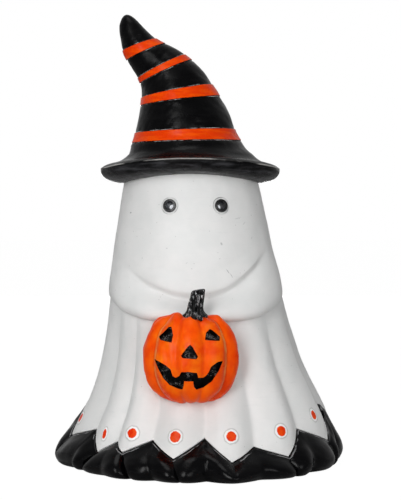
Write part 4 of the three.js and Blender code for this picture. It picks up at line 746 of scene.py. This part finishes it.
def robe_rings(offset=0.0, per_half=COLUMNS_PER_HALF_FOLD, relief=False, rows=ROBE_ROWS):
    azimuth, share, hem = columns(per_half)
    bottom, top = sleeve_edges(azimuth)
    skirt, sleeve, chest = (np.arange(count) / count for count in rows[:3])
    heights = [lerp(hem, bottom, s ** ROW_SPACING[0]) for s in skirt]
    heights += [lerp(bottom, top, s) for s in np.sin(sleeve * math.pi / 2) ** ROW_SPACING[1]]
    heights += [lerp(top, HEAD_BASE, s ** ROW_SPACING[2]) for s in chest]
    crown = np.sin(np.arange(rows[3]) / rows[3] * math.pi / 2)
    heights += [np.full_like(azimuth, HEAD_BASE + (CROWN_HEIGHT + offset) * s) for s in crown]
    rings = []
    for height in heights:
        points = robe_points(azimuth, share, height, offset)
        if relief:
            extra = robe_relief(azimuth, height, points)
            points = robe_points(azimuth, share, height, offset, extra)
        rings.append(points)
    return rings + [tip(centre_x(HEAD_BASE), HEAD_BASE + CROWN_HEIGHT + offset)]


def robe_form():
    """The robe's outer form, filled and grown by the gap for glue, to cut what rests against it."""
    foot = tip(centre_x(0), HEM_POINTS[0][1])
    return skin("robe_tool", [foot] + robe_rings(GLUE_GAP, TOOL_COLUMNS, rows=TOOL_ROWS))


def head_form():
    """The head, filled and grown by the gap in the hat's socket."""
    azimuth, share, _ = columns(HEAD_COLUMNS)
    low = HEAD_BASE - CROWN_HEIGHT / 2
    levels = [np.full_like(azimuth, height) for height in np.linspace(low, HEAD_BASE, 5)[:-1]]
    rings = [tip(centre_x(low), low)] + [robe_points(azimuth, share, level, SOCKET_GAP) for level in levels]
    crown = robe_rings(SOCKET_GAP, HEAD_COLUMNS, rows=(0, 0, 0, 16))
    return skin("head_tool", rings + crown)


def eye_frame(degrees):
    """Frame of an eye: origin on the face of the robe, Z straight out of it."""
    def face(turn, lift):
        azimuth = np.radians(degrees + turn)
        return Vector(robe_points(azimuth, 0.0, np.float64(EYE_HEIGHT + lift)).tolist())

    across = (face(1, 0) - face(-1, 0)).normalized()
    out = across.cross(face(0, 1) - face(0, -1)).normalized()
    basis = Matrix((across, out.cross(across), out)).transposed().to_4x4()
    return Matrix.Translation(face(0, 0)) @ basis


def make_robe():
    azimuth, share, hem = columns()
    up = np.array([0, 0, 1])
    edge = [robe_points(azimuth, share, hem, offset) + up * lift for offset, lift in HEM_ROUNDING]
    outside = robe_rings(relief=True)
    outside[0] = outside[0] + up * HEM_LIFT
    inner_top = CROWN_HEIGHT - ROBE_WALL
    levels = [np.full_like(azimuth, HEAD_BASE + inner_top * part) for part in INNER_CROWN]
    levels += [np.maximum(hem + INNER_LIP, height) for height in INNER_HEIGHTS] + [hem]
    inside = [inside_points(azimuth, level, ROBE_WALL) for level in levels]
    robe = skin("robe", [tip(centre_x(HEAD_BASE), HEAD_BASE + inner_top)] + inside + edge + outside)
    bore = CLIP_BARREL_RADIUS + CLIP_GAP
    profile = [(0, BORE_END), (bore, BORE_END), (bore, -EYE_RECESS_DEPTH)]
    profile += [(EYE_RECESS_RADIUS + out, height) for out, height in RECESS_SECTION]
    profile.append((0, RECESS_SECTION[-1][1]))
    bores = []
    for side, degrees in EYES.items():
        bores.append(turned("bore_" + side, profile, eye_frame(degrees), BORE_SIDES))
    cut(robe, *bores)
    points = points_of(robe)
    apart = dot_distances(points)
    nearest = apart.argmin(1)
    distance = apart.min(1)
    centres = [np.array(eye_frame(degrees).translation) for degrees in EYES.values()]
    mark(robe, "eye", np.min([np.linalg.norm(points - centre, axis=1) for centre in centres], axis=0))
    mark(robe, "dot", distance / DOT_RING)
    mark(robe, "dot_middle", distance - np.array([dot[2] for dot in DOTS])[nearest])
    return robe


# Underskirt

def oval_points(azimuth, half, height):
    return stack(np.sin(azimuth) * half, -np.cos(azimuth) * half * DEPTH_RATIO, height)


def lobe_points(azimuth, share, hem, drop):
    start = robe_points(azimuth, share, hem, -HEM_STEP)
    fold = np.repeat(np.arange(len(HEM_POINTS)), len(share) // len(HEM_POINTS))
    low, lean = (
        lerp(np.array(crease)[fold], np.roll(crease, -1)[fold], smoothstep(share, 0, 1))
        for crease in (CREASE_BULGE, CREASE_LEAN)
    )
    fullness = np.sin(math.pi * share) ** LOBE_FULLNESS
    reach = lerp(low, LOBE_BULGE, fullness) * math.sin(math.pi * LOBE_ROUNDING * drop)
    ledge = lerp(RIM_LEDGE, HIGH_RIM_LEDGE, smoothstep(hem, *HIGH_RIM))
    reach = reach + ledge * smoothstep(drop, *LEDGE_START) * (1 - drop)
    reach = reach - FOOT_ROUNDING * drop ** FOOT_SHARPNESS
    x = start[:, 0] + np.sin(azimuth) * reach - centre_x(hem) * drop
    y = start[:, 1] - np.cos(azimuth) * reach
    turn = np.radians(lean) * drop
    height = lerp(hem - GLUE_GAP, 0, drop)
    return stack(x * np.cos(turn) - y * np.sin(turn), x * np.sin(turn) + y * np.cos(turn), height)


def make_underskirt():
    azimuth, share, hem = columns()
    lobes = []
    for drop in np.concatenate([np.linspace(1, 0.05, 32), [0.03, 0.016, 0.008, 0.0]]):
        points = lobe_points(azimuth, share, hem, drop)
        dent = uneven(points, SKIRT_UNEVEN) - SKIRT_SINK
        dent = dent * min(drop * HEM_GROWTH, 1) * min((1 - drop) * FOOT_GROWTH, 1)
        lobes.append(points + stack(np.sin(azimuth), -np.cos(azimuth), 0) * dent[:, None])
    spigot = ROBE_WALL + GLUE_GAP
    low = inside_points(azimuth, hem, spigot)
    low[:, 2] = hem - GLUE_GAP
    level = np.full_like(azimuth, SPIGOT_HEIGHT)
    rings = [oval_points(azimuth, REBATE_HALF_WIDTH, 0)] + lobes + [
        low,
        inside_points(azimuth, level, spigot),
        inside_points(azimuth, level, spigot + SPIGOT_WALL),
        oval_points(azimuth, REBATE_HALF_WIDTH - LEDGE_WIDTH, LEDGE_TOP),
        oval_points(azimuth, REBATE_HALF_WIDTH - LEDGE_WIDTH, LEDGE_BOTTOM),
        oval_points(azimuth, REBATE_HALF_WIDTH, LEDGE_BOTTOM),
    ]
    skirt = skin("underskirt", rings, looped=True, crease=50)
    below = np.full(len(skirt.data.vertices), FAR)
    count = len(azimuth)
    below[count:count * (len(lobes) + 1)] = np.concatenate([hem - GLUE_GAP - ring[:, 2] for ring in lobes])
    mark(skirt, "rim", below)
    return skirt


# Hat

def brim_points(angle, height):
    half, rise = along(BRIM_PROFILE, 1, height), along(BRIM_PROFILE, 2, height)
    return stack(
        BRIM_CENTRE_X + np.sin(angle) * half,
        -np.cos(angle) * half * HAT_DEPTH_RATIO,
        height + BRIM_RISE * rise * np.cos(angle) ** 2,
    )


def crown_points(angle, distance, relief):
    x, height, radius, lean = (along(CROWN_STATIONS, column, distance) for column in (1, 2, 3, 4))
    lean = math.radians(lean)
    across = radius + relief
    return stack(
        x + np.sin(angle) * across * math.cos(lean),
        -np.cos(angle) * across * HAT_DEPTH_RATIO,
        height + np.sin(angle) * across * math.sin(lean),
    )


def band_distance(distance):
    """How far outside the nearest painted band a place on the crown is; negative within it."""
    return min(max(start - distance, distance - end) for start, end in HAT_BANDS)


def make_hat():
    angle = turns(HAT_COLUMNS)
    low, high = BRIM_PROFILE[0, 0], BRIM_PROFILE[-1, 0]
    out = stack(np.sin(angle), -np.cos(angle), ROLL_LEAN)
    rings, marks = [tip(BRIM_CENTRE_X, low)], [FAR]
    for height in np.concatenate([np.linspace(*rows) for rows in BRIM_ROWS]):
        ring = brim_points(angle, height)
        swell = ROLL_RISE * math.exp(-((height - ROLL_HEIGHT) / ROLL_WIDTH) ** 2)
        rough = uneven(ring, BRIM_UNEVEN) * smoothstep(height, *BRIM_START)
        rings.append(ring + out * (swell + rough)[:, None])
        marks += [FAR if height > BRIM_FACE else BRIM_MARK + BRIM_FACE - height] * HAT_COLUMNS
    start, end = brim_points(angle, high), crown_points(angle, 0.0, 0)
    for share in (0.2, 0.4, 0.6, 0.8):
        bow = (start - end) * HAT_HOLLOW * math.sin(math.pi * share) * np.array([-1, -1, 0])
        rings.append(lerp(start, end, share) + bow)
        marks += [FAR] * HAT_COLUMNS
    top = CROWN_STATIONS[-1][0]
    edges = [[start - BAND_SLOPE, start, end, end + BAND_SLOPE] for start, end in HAT_BANDS]
    steps = np.concatenate([np.arange(0, top, CROWN_ROW), *edges, [top]])
    for distance in np.unique(np.round(steps, 2)):
        apart = band_distance(distance)
        score = SCORE_DEPTH * math.exp(-((apart - SCORE_DISTANCE) / SCORE_WIDTH) ** 2)
        relief = BAND_RELIEF * (1 - smoothstep(apart, 0, BAND_SLOPE)) - score
        rough = uneven(crown_points(angle, distance, relief), CROWN_UNEVEN)
        rings.append(crown_points(angle, distance, relief + rough))
        marks += [apart] * HAT_COLUMNS
    last, end = rings[-1], tip(HAT_TIP_X, HAT_TIP_HEIGHT)
    for share in TIP_ROWS:
        middle = lerp(last.mean(0), end, share)
        rings.append(middle + (last - last.mean(0)) * math.sqrt(1 - share) * np.array([1, 1, 1 - share]))
        marks += [FAR] * HAT_COLUMNS
    hat = skin("hat", rings + [end])
    marks.append(FAR)
    before = np.round(points_of(hat), 3).tolist()
    cut(hat, head_form(), crease=50)
    after = np.round(points_of(hat), 3).tolist()
    known = {tuple(key): value for key, value in zip(before, marks)}
    mark(hat, "band", [known.get(tuple(key), FAR) for key in after])
    return hat


# Pumpkin

PUMPKIN_Y = -half_width(PUMPKIN_HEIGHT) * DEPTH_RATIO - PUMPKIN_PROUD + PUMPKIN_HALF[1]
STEM_FOOT = np.array([
    PUMPKIN_X + STEM_OFFSET_X, PUMPKIN_Y - STEM_FORWARD,
    PUMPKIN_HEIGHT + PUMPKIN_HALF[2] - DIMPLE_DEPTH - STEM_SINK,
])


def pumpkin_points(angle, polar, offset=0.0):
    groove = 1 - rib(PUMPKIN_RIBS / 2 * angle)
    across = np.cos(polar) ** PUMPKIN_FULLNESS * (1 - PUMPKIN_RIB_DEPTH * groove)
    rise = np.sin(polar) * (1 - PUMPKIN_RIB_DEPTH / 2 * groove)
    dimple = np.exp(-((across * PUMPKIN_HALF[0] / DIMPLE_RADIUS) ** 2))
    sink = np.where(rise > 0, DIMPLE_DEPTH, -FOOT_DIMPLE_DEPTH)
    return stack(
        PUMPKIN_X + np.sin(angle) * across * (PUMPKIN_HALF[0] + offset),
        PUMPKIN_Y - np.cos(angle) * across * (PUMPKIN_HALF[1] + offset),
        PUMPKIN_HEIGHT + rise * (PUMPKIN_HALF[2] + offset) - sink * dimple,
    )


def pumpkin_form(name, offset, sides=120, rows=80, dressed=False):
    angle = turns(sides)
    rings = [pumpkin_points(np.array([0.0]), -math.pi / 2 + POLE, offset)]
    for row in range(1, rows):
        points = pumpkin_points(angle, math.pi * (row / rows - 0.5), offset)
        if dressed:
            out = points - np.array([PUMPKIN_X, PUMPKIN_Y, PUMPKIN_HEIGHT])
            out /= np.linalg.norm(out, axis=1)[:, None]
            points = points + out * (uneven(points, PUMPKIN_UNEVEN) - PUMPKIN_SINK)[:, None]
            across = points[:, 0] - PUMPKIN_X
            lumps = sum(lift * np.exp(-((across - x) / wide) ** 2) for x, lift, wide in SHOULDER_LUMPS)
            points[:, 2] += lumps * smoothstep(points[:, 2] - PUMPKIN_HEIGHT, *SHOULDER_START)
        rings.append(points)
    rings.append(pumpkin_points(np.array([0.0]), math.pi / 2 - POLE, offset))
    return skin(name, rings, crease=60)


def outline_distance(points, outline):
    """Signed distance of (x, z) points from a closed outline, negative inside."""
    corners = np.array(outline, float)
    follow = np.roll(corners, -1, axis=0)
    best = np.full(len(points), np.inf)
    inside = np.zeros(len(points), bool)
    for a, b in zip(corners, follow):
        edge = b - a
        t = np.clip((points - a) @ edge / (edge @ edge), 0, 1)
        best = np.minimum(best, np.linalg.norm(points - a - t[:, None] * edge, axis=1))
        crosses = (a[1] > points[:, 1]) != (b[1] > points[:, 1])
        with np.errstate(divide="ignore", invalid="ignore"):
            at = a[0] + (points[:, 1] - a[1]) * edge[0] / edge[1]
        inside ^= crosses & (points[:, 0] < at)
    return np.where(inside, -best, best)


def carving(number, outline):
    """Prism over a carved outline, from in front of the pumpkin to its middle."""
    corners = np.array(outline, float) + [PUMPKIN_X, PUMPKIN_HEIGHT]
    area = np.sum(corners[:, 0] * np.roll(corners[:, 1], -1) - corners[:, 1] * np.roll(corners[:, 0], -1))
    if area < 0:
        corners = corners[::-1]
    count = len(corners)
    front = stack(corners[:, 0], PUMPKIN_Y - 2 * PUMPKIN_HALF[1], corners[:, 1])
    back = stack(corners[:, 0], PUMPKIN_Y, corners[:, 1])
    faces = [list(range(count)), list(range(2 * count - 1, count - 1, -1))]
    faces += [[(i + 1) % count, i, count + i, count + (i + 1) % count] for i in range(count)]
    tool = solid("carving_%d" % number, np.concatenate([front, back]), faces)
    return cut(tool, pumpkin_form("core_%d" % number, -CARVING_DEPTH))


def make_pumpkin():
    pumpkin = pumpkin_form("pumpkin_body", 0, PUMPKIN_COLUMNS, PUMPKIN_ROWS, dressed=True)
    tools = [carving(number, outline) for number, outline in enumerate(CARVED_FACE)]
    cut(pumpkin, *tools, robe_form(), crease=42)
    points = points_of(pumpkin)
    flat = points[:, [0, 2]] - [PUMPKIN_X, PUMPKIN_HEIGHT]
    carved = np.min([outline_distance(flat, outline) for outline in CARVED_FACE], axis=0)
    mark(pumpkin, "carved", np.where(points[:, 1] < PUMPKIN_Y, carved, FAR))
    angle = np.arctan2(points[:, 0] - PUMPKIN_X, PUMPKIN_Y - points[:, 1])
    outer = np.where(np.abs(flat[:, 0]) > OUTER_GROOVES * PUMPKIN_HALF[0], 1, MIDDLE_GROOVES)
    mark(pumpkin, "groove", (1 - np.abs(np.cos(PUMPKIN_RIBS / 2 * angle))) * outer)
    return pumpkin


def make_stem():
    angle = turns(STEM_COLUMNS)
    rings = []
    for share in np.linspace(STEM_FLARE[0, 0], 1, STEM_ROWS):
        flare = along(STEM_FLARE, 1, share)
        lean, slant = max(share, 0) ** 2, max(share, 0) * STEM_SLANT
        groove = np.abs(np.cos(STEM_RIDGES / 2 * (angle + STEM_RIDGE_TURN * share)))
        groove = groove ** STEM_RIDGE_POWER * 2 - 1
        rough = sum(size * np.sin(waves * angle + turn * share) for size, waves, turn in STEM_UNEVEN)
        ridge = 1 + STEM_RIDGE_DEPTH * (1 + max(flare, 0)) * groove + rough
        radius = lerp(STEM_RADIUS, STEM_COLLAR_RADIUS, flare) * ridge
        radius = radius - smoothstep(share, *STEM_EDGE) * STEM_EDGE_ROUNDING
        rings.append(stack(
            STEM_FOOT[0] + STEM_LEAN_X * lean + np.sin(angle) * radius,
            STEM_FOOT[1] + STEM_LEAN_Y * lean - np.cos(angle) * radius,
            STEM_FOOT[2] + STEM_LENGTH * share + slant * np.sin(angle) * radius,
        ))
    edge, top = rings[-1], rings[-1].mean(0)
    rings += [top + (edge - top) * share + np.array([0, 0, lift]) for share, lift in STEM_TOP]
    rings.append(top[None] + np.array([[0, 0, STEM_TOP_MIDDLE]]))
    stem = skin("stem", [rings[0].mean(0)[None]] + rings, crease=45)
    return cut(stem, pumpkin_form("pumpkin_tool", STEM_GAP), robe_form(), crease=45)


# Eyes

def rounded(centre, radius, start, end, steps):
    """(radius, height) pairs on an arc, angles in degrees from the horizontal."""
    return [
        (centre[0] + radius * math.cos(math.radians(a)), centre[1] + radius * math.sin(math.radians(a)))
        for a in np.linspace(start, end, steps)
    ]


def make_eye(side, degrees):
    place = eye_frame(degrees)
    bore = LED_RADIUS + CLIP_GAP
    front = CLIP_FOOT + CLIP_FLANGE_THICKNESS
    corner = (CLIP_FLANGE_RADIUS - CLIP_ROUNDING, front - CLIP_ROUNDING)
    clip = turned("eye_ring_" + side, [
        (bore, CLIP_BACK), (CLIP_BARREL_RADIUS, CLIP_BACK), (CLIP_BARREL_RADIUS, CLIP_FOOT),
        (CLIP_FLANGE_RADIUS - CLIP_FOOT_BEVEL, CLIP_FOOT), (CLIP_FLANGE_RADIUS, CLIP_FOOT + CLIP_FOOT_BEVEL),
        *rounded(corner, CLIP_ROUNDING, 0, 90, 7), (bore + CLIP_BEVEL, front), (bore, front - CLIP_BEVEL),
    ], place, CLIP_SIDES, looped=True)
    rim, end = LED_BACK + LED_RIM_THICKNESS, LED_BACK + LED_LENGTH
    lens = turned("eye_lens_" + side, [
        (0, LED_BACK), (LED_RIM_RADIUS, LED_BACK), (LED_RIM_RADIUS, rim), (LED_RADIUS, rim),
        *rounded((0, end - LED_RADIUS), LED_RADIUS, 0, 84, 14), (0, end),
    ], place, LENS_SIDES)
    cup = turned("eye_cup_" + side, CUP_SECTION, place, CUP_SIDES)
    chip = turned("eye_chip_" + side, CHIP_SECTION, place, CHIP_SIDES)
    section = [(0, LEAD_END), (LEAD_RADIUS, LEAD_END), (LEAD_RADIUS, LEAD_START), (0, LEAD_START)]
    leads = []
    for number, across in ((1, -LEAD_SPACING / 2), (2, LEAD_SPACING / 2)):
        axis = place @ Matrix.Translation((across, 0, 0))
        leads.append(turned("eye_lead_%s_%d" % (side, number), section, axis, LEAD_SIDES))
    return clip, lens, cup, chip, leads


# Stage, in metres

WHITE = (1, 1, 1, 1)
FLOOR_REACH, FLOOR_DROP = 6, 0.0002
# What the camera sees of the floor: mostly its glow, the rest matt grey that takes the shadows
FLOOR_GREY, FLOOR_GLOW, GLOW_SHARE = (0.7, 0.7, 0.7, 1), 1.06, 0.93
# The floor also lights what is close above it: share of its glow, distances between which that ends
CLOSE_GLOW, CLOSE_RANGE = 0.5, (0.01, 0.03)
WORLD_LIGHT = 0.2
# Strength of the mirrored world in front and behind, and the directions in Y between which it changes
MIRRORED_LIGHT, MIRRORED_RANGE = (0.1, 0.5), (-0.35, 0.6)
CAMERA_PLACE, CAMERA_TILT, CAMERA_LENS, SENSOR_WIDTH = (0, -1.037, 0.177), 1.83, 109.1, 36
# Name, place, aim, size, watts, height over width
LAMPS = [
    ("key", (-0.55, -1.45, 0.64), (0, 0, 0.28), 0.45, 13.2, 3),
    ("fill", (0.75, -1.45, 0.4), (0, 0, 0.14), 0.8, 4.2, 1),
    ("top", (-0.1, -0.25, 1.5), (0, 0, 0.1), 0.7, 3.2, 1),
    ("back", (-0.05, 1.8, 0.1), (0, 0, 0.12), 0.5, 8, 1),
    ("spark", (0.3, -1.4, 0.36), (0, 0, 0.16), 0.12, 0.8, 1),
]


def make_floor():
    """White floor, see-through from below."""
    mesh = bpy.data.meshes.new("floor")
    corners = [(-1, -1, 0), (1, -1, 0), (1, 1, 0), (-1, 1, 0)]
    mesh.from_pydata([Vector(corner) * FLOOR_REACH for corner in corners], [], [(0, 1, 2, 3)])
    floor = add("floor", mesh)
    floor.location.z = -FLOOR_DROP
    material = bpy.data.materials.new("floor_white")
    material.use_nodes = True
    material.node_tree.nodes.clear()
    nodes = Nodes(material.node_tree)
    seen = nodes.times(nodes.node("LightPath", output="Is Camera Ray"), GLOW_SHARE)
    length = nodes.node("LightPath", output="Ray Length")
    near, far = CLOSE_RANGE
    close = nodes.node("MapRange", {"Value": length, 1: near, 2: far, 3: CLOSE_GLOW, 4: 0})
    close = nodes.times(nodes.node("LightPath", output="Is Diffuse Ray"), close)
    matt = nodes.node("BsdfDiffuse", {"Color": FLOOR_GREY})
    glow = nodes.node("Emission", {"Strength": FLOOR_GLOW})
    above = nodes.node("MixShader", {0: nodes.math("MAXIMUM", seen, close), 1: matt, 2: glow})
    below = nodes.node("NewGeometry", output="Backfacing")
    surface = nodes.node("MixShader", {0: below, 1: above, 2: nodes.node("BsdfTransparent")})
    nodes.node("OutputMaterial", {"Surface": surface})
    mesh.materials.append(material)


def make_world():
    """White to the camera, dim to what it lights, and in mirrored rays brighter behind than in front."""
    world = bpy.data.worlds.new("studio")
    bpy.context.scene.world = world
    world.use_nodes = True
    world.node_tree.nodes.clear()
    nodes = Nodes(world.node_tree)
    backwards = nodes.node("SeparateXYZ", {0: nodes.node("TexCoord", output="Generated")}, "Y")
    behind = nodes.between(backwards, *MIRRORED_RANGE, *MIRRORED_LIGHT)
    camera, glossy, passing = (
        nodes.node("LightPath", output="Is %s Ray" % kind) for kind in ("Camera", "Glossy", "Transmission")
    )
    mirrored = nodes.times(nodes.math("MAXIMUM", glossy, passing), behind)
    lit = nodes.node("Background", {"Color": WHITE, "Strength": WORLD_LIGHT})
    seen = nodes.node("Background", {"Color": WHITE})
    surface = nodes.node("MixShader", {0: nodes.math("MAXIMUM", camera, mirrored), 1: lit, 2: seen})
    nodes.node("OutputWorld", {"Surface": surface})


def make_lamp(name, place, aim, size, watts, tall):
    data = bpy.data.lights.new(name, "AREA")
    data.shape, data.size, data.size_y, data.energy = "ELLIPSE", size, size * tall, watts
    lamp = add(name, data)
    lamp.location = place
    lamp.rotation_euler = (Vector(aim) - Vector(place)).to_track_quat("-Z", "Y").to_euler()


def make_camera():
    data = bpy.data.cameras.new("camera")
    data.sensor_width, data.lens = SENSOR_WIDTH, CAMERA_LENS
    camera = add("camera", data)
    camera.location = CAMERA_PLACE
    camera.rotation_euler = (math.radians(90 - CAMERA_TILT), 0, 0)
    bpy.context.scene.camera = camera


# Assembly

def dress(piece, material, node):
    """Gives a piece its material and its body, and hides the CAD node that it stands for."""
    piece.data.materials.clear()
    piece.data.materials.append(material)
    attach(piece, FIGURE)
    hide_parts(node)


bpy.context.scene.view_settings.view_transform = "Standard"
make_camera()
make_floor()
make_world()
for lamp in LAMPS:
    make_lamp(*lamp)

epoxy = clear_epoxy()
black_plastic = moulded_plastic("black_moulded_plastic", linear(20, 20, 22))
ring_plastic = moulded_plastic("black_ring_plastic", linear(6, 6, 7), 0.25, 0.02)
cup_steel = plated_metal("dull_lead_frame", linear(110, 112, 114), 0.55)
catchlight_chip = painted_catchlight_chip()
tinned = plated_metal("tinned_steel", linear(200, 202, 203))
zinc = plated_metal("zinc_plated_screw", linear(186, 188, 187), 0.36)
cell_wrap = plated_metal("cell_wrap", linear(150, 153, 158), 0.3, (0.2, 1, 1))
board = moulded_plastic("green_circuit_board", linear(30, 98, 52), 0.35, 0.02)
ceramic = moulded_plastic("tan_ceramic_body", linear(201, 170, 124), 0.4, 0.02)
red_wire = moulded_plastic("red_wire_sleeve", linear(176, 24, 22), 0.35, 0.01)
black_wire = moulded_plastic("black_wire_sleeve", linear(22, 22, 24), 0.35, 0.01)

dress(make_robe(), robe_paint(), "robe_shell")
dress(make_underskirt(), skirt_paint(), "hem_skirt")
dress(make_hat(), hat_paint(), "witch_hat")
dress(make_pumpkin(), pumpkin_paint(), "pumpkin")
dress(make_stem(), stem_paint(), "pumpkin_stem")
for side, degrees in EYES.items():
    clip, lens, cup, chip, leads = make_eye(side, degrees)
    dress(clip, ring_plastic, "eye_clip_" + side)
    dress(lens, epoxy, "eye_led_" + side)
    dress(cup, cup_steel, "eye_led_" + side)
    dress(chip, catchlight_chip, "eye_led_" + side)
    for lead in leads:
        dress(lead, tinned, "eye_led_" + side)

FINISHES = {
    name: material
    for material, names in (
        (black_plastic, "base_plate battery_box battery_door switch_knob"),
        (tinned, "contact switch_housing"),
        (zinc, "plate_screw box_screw door_screw board_screw"),
        (cell_wrap, "battery"),
        (board, "circuit_board"),
        (ceramic, "resistor"),
        (red_wire, "battery_lead_red eye_wire_left_red eye_wire_right_red"),
        (black_wire, "battery_lead_black eye_wire_left_black eye_wire_right_black"),
    )
    for name in names.split()
}
for name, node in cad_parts.items():
    match = max((key for key in FINISHES if name.startswith(key)), key=len, default=None)
    if match is None:
        continue
    for place in node.material_slots:
        place.material = FINISHES[match]
    if match in BEVELLED:
        bevel = node.modifiers.new("edges", "BEVEL")
        bevel.width, bevel.segments, bevel.limit_method = BEVEL_WIDTH * MM, 2, "ANGLE"
        bevel.angle_limit = math.radians(BEVEL_ANGLE)
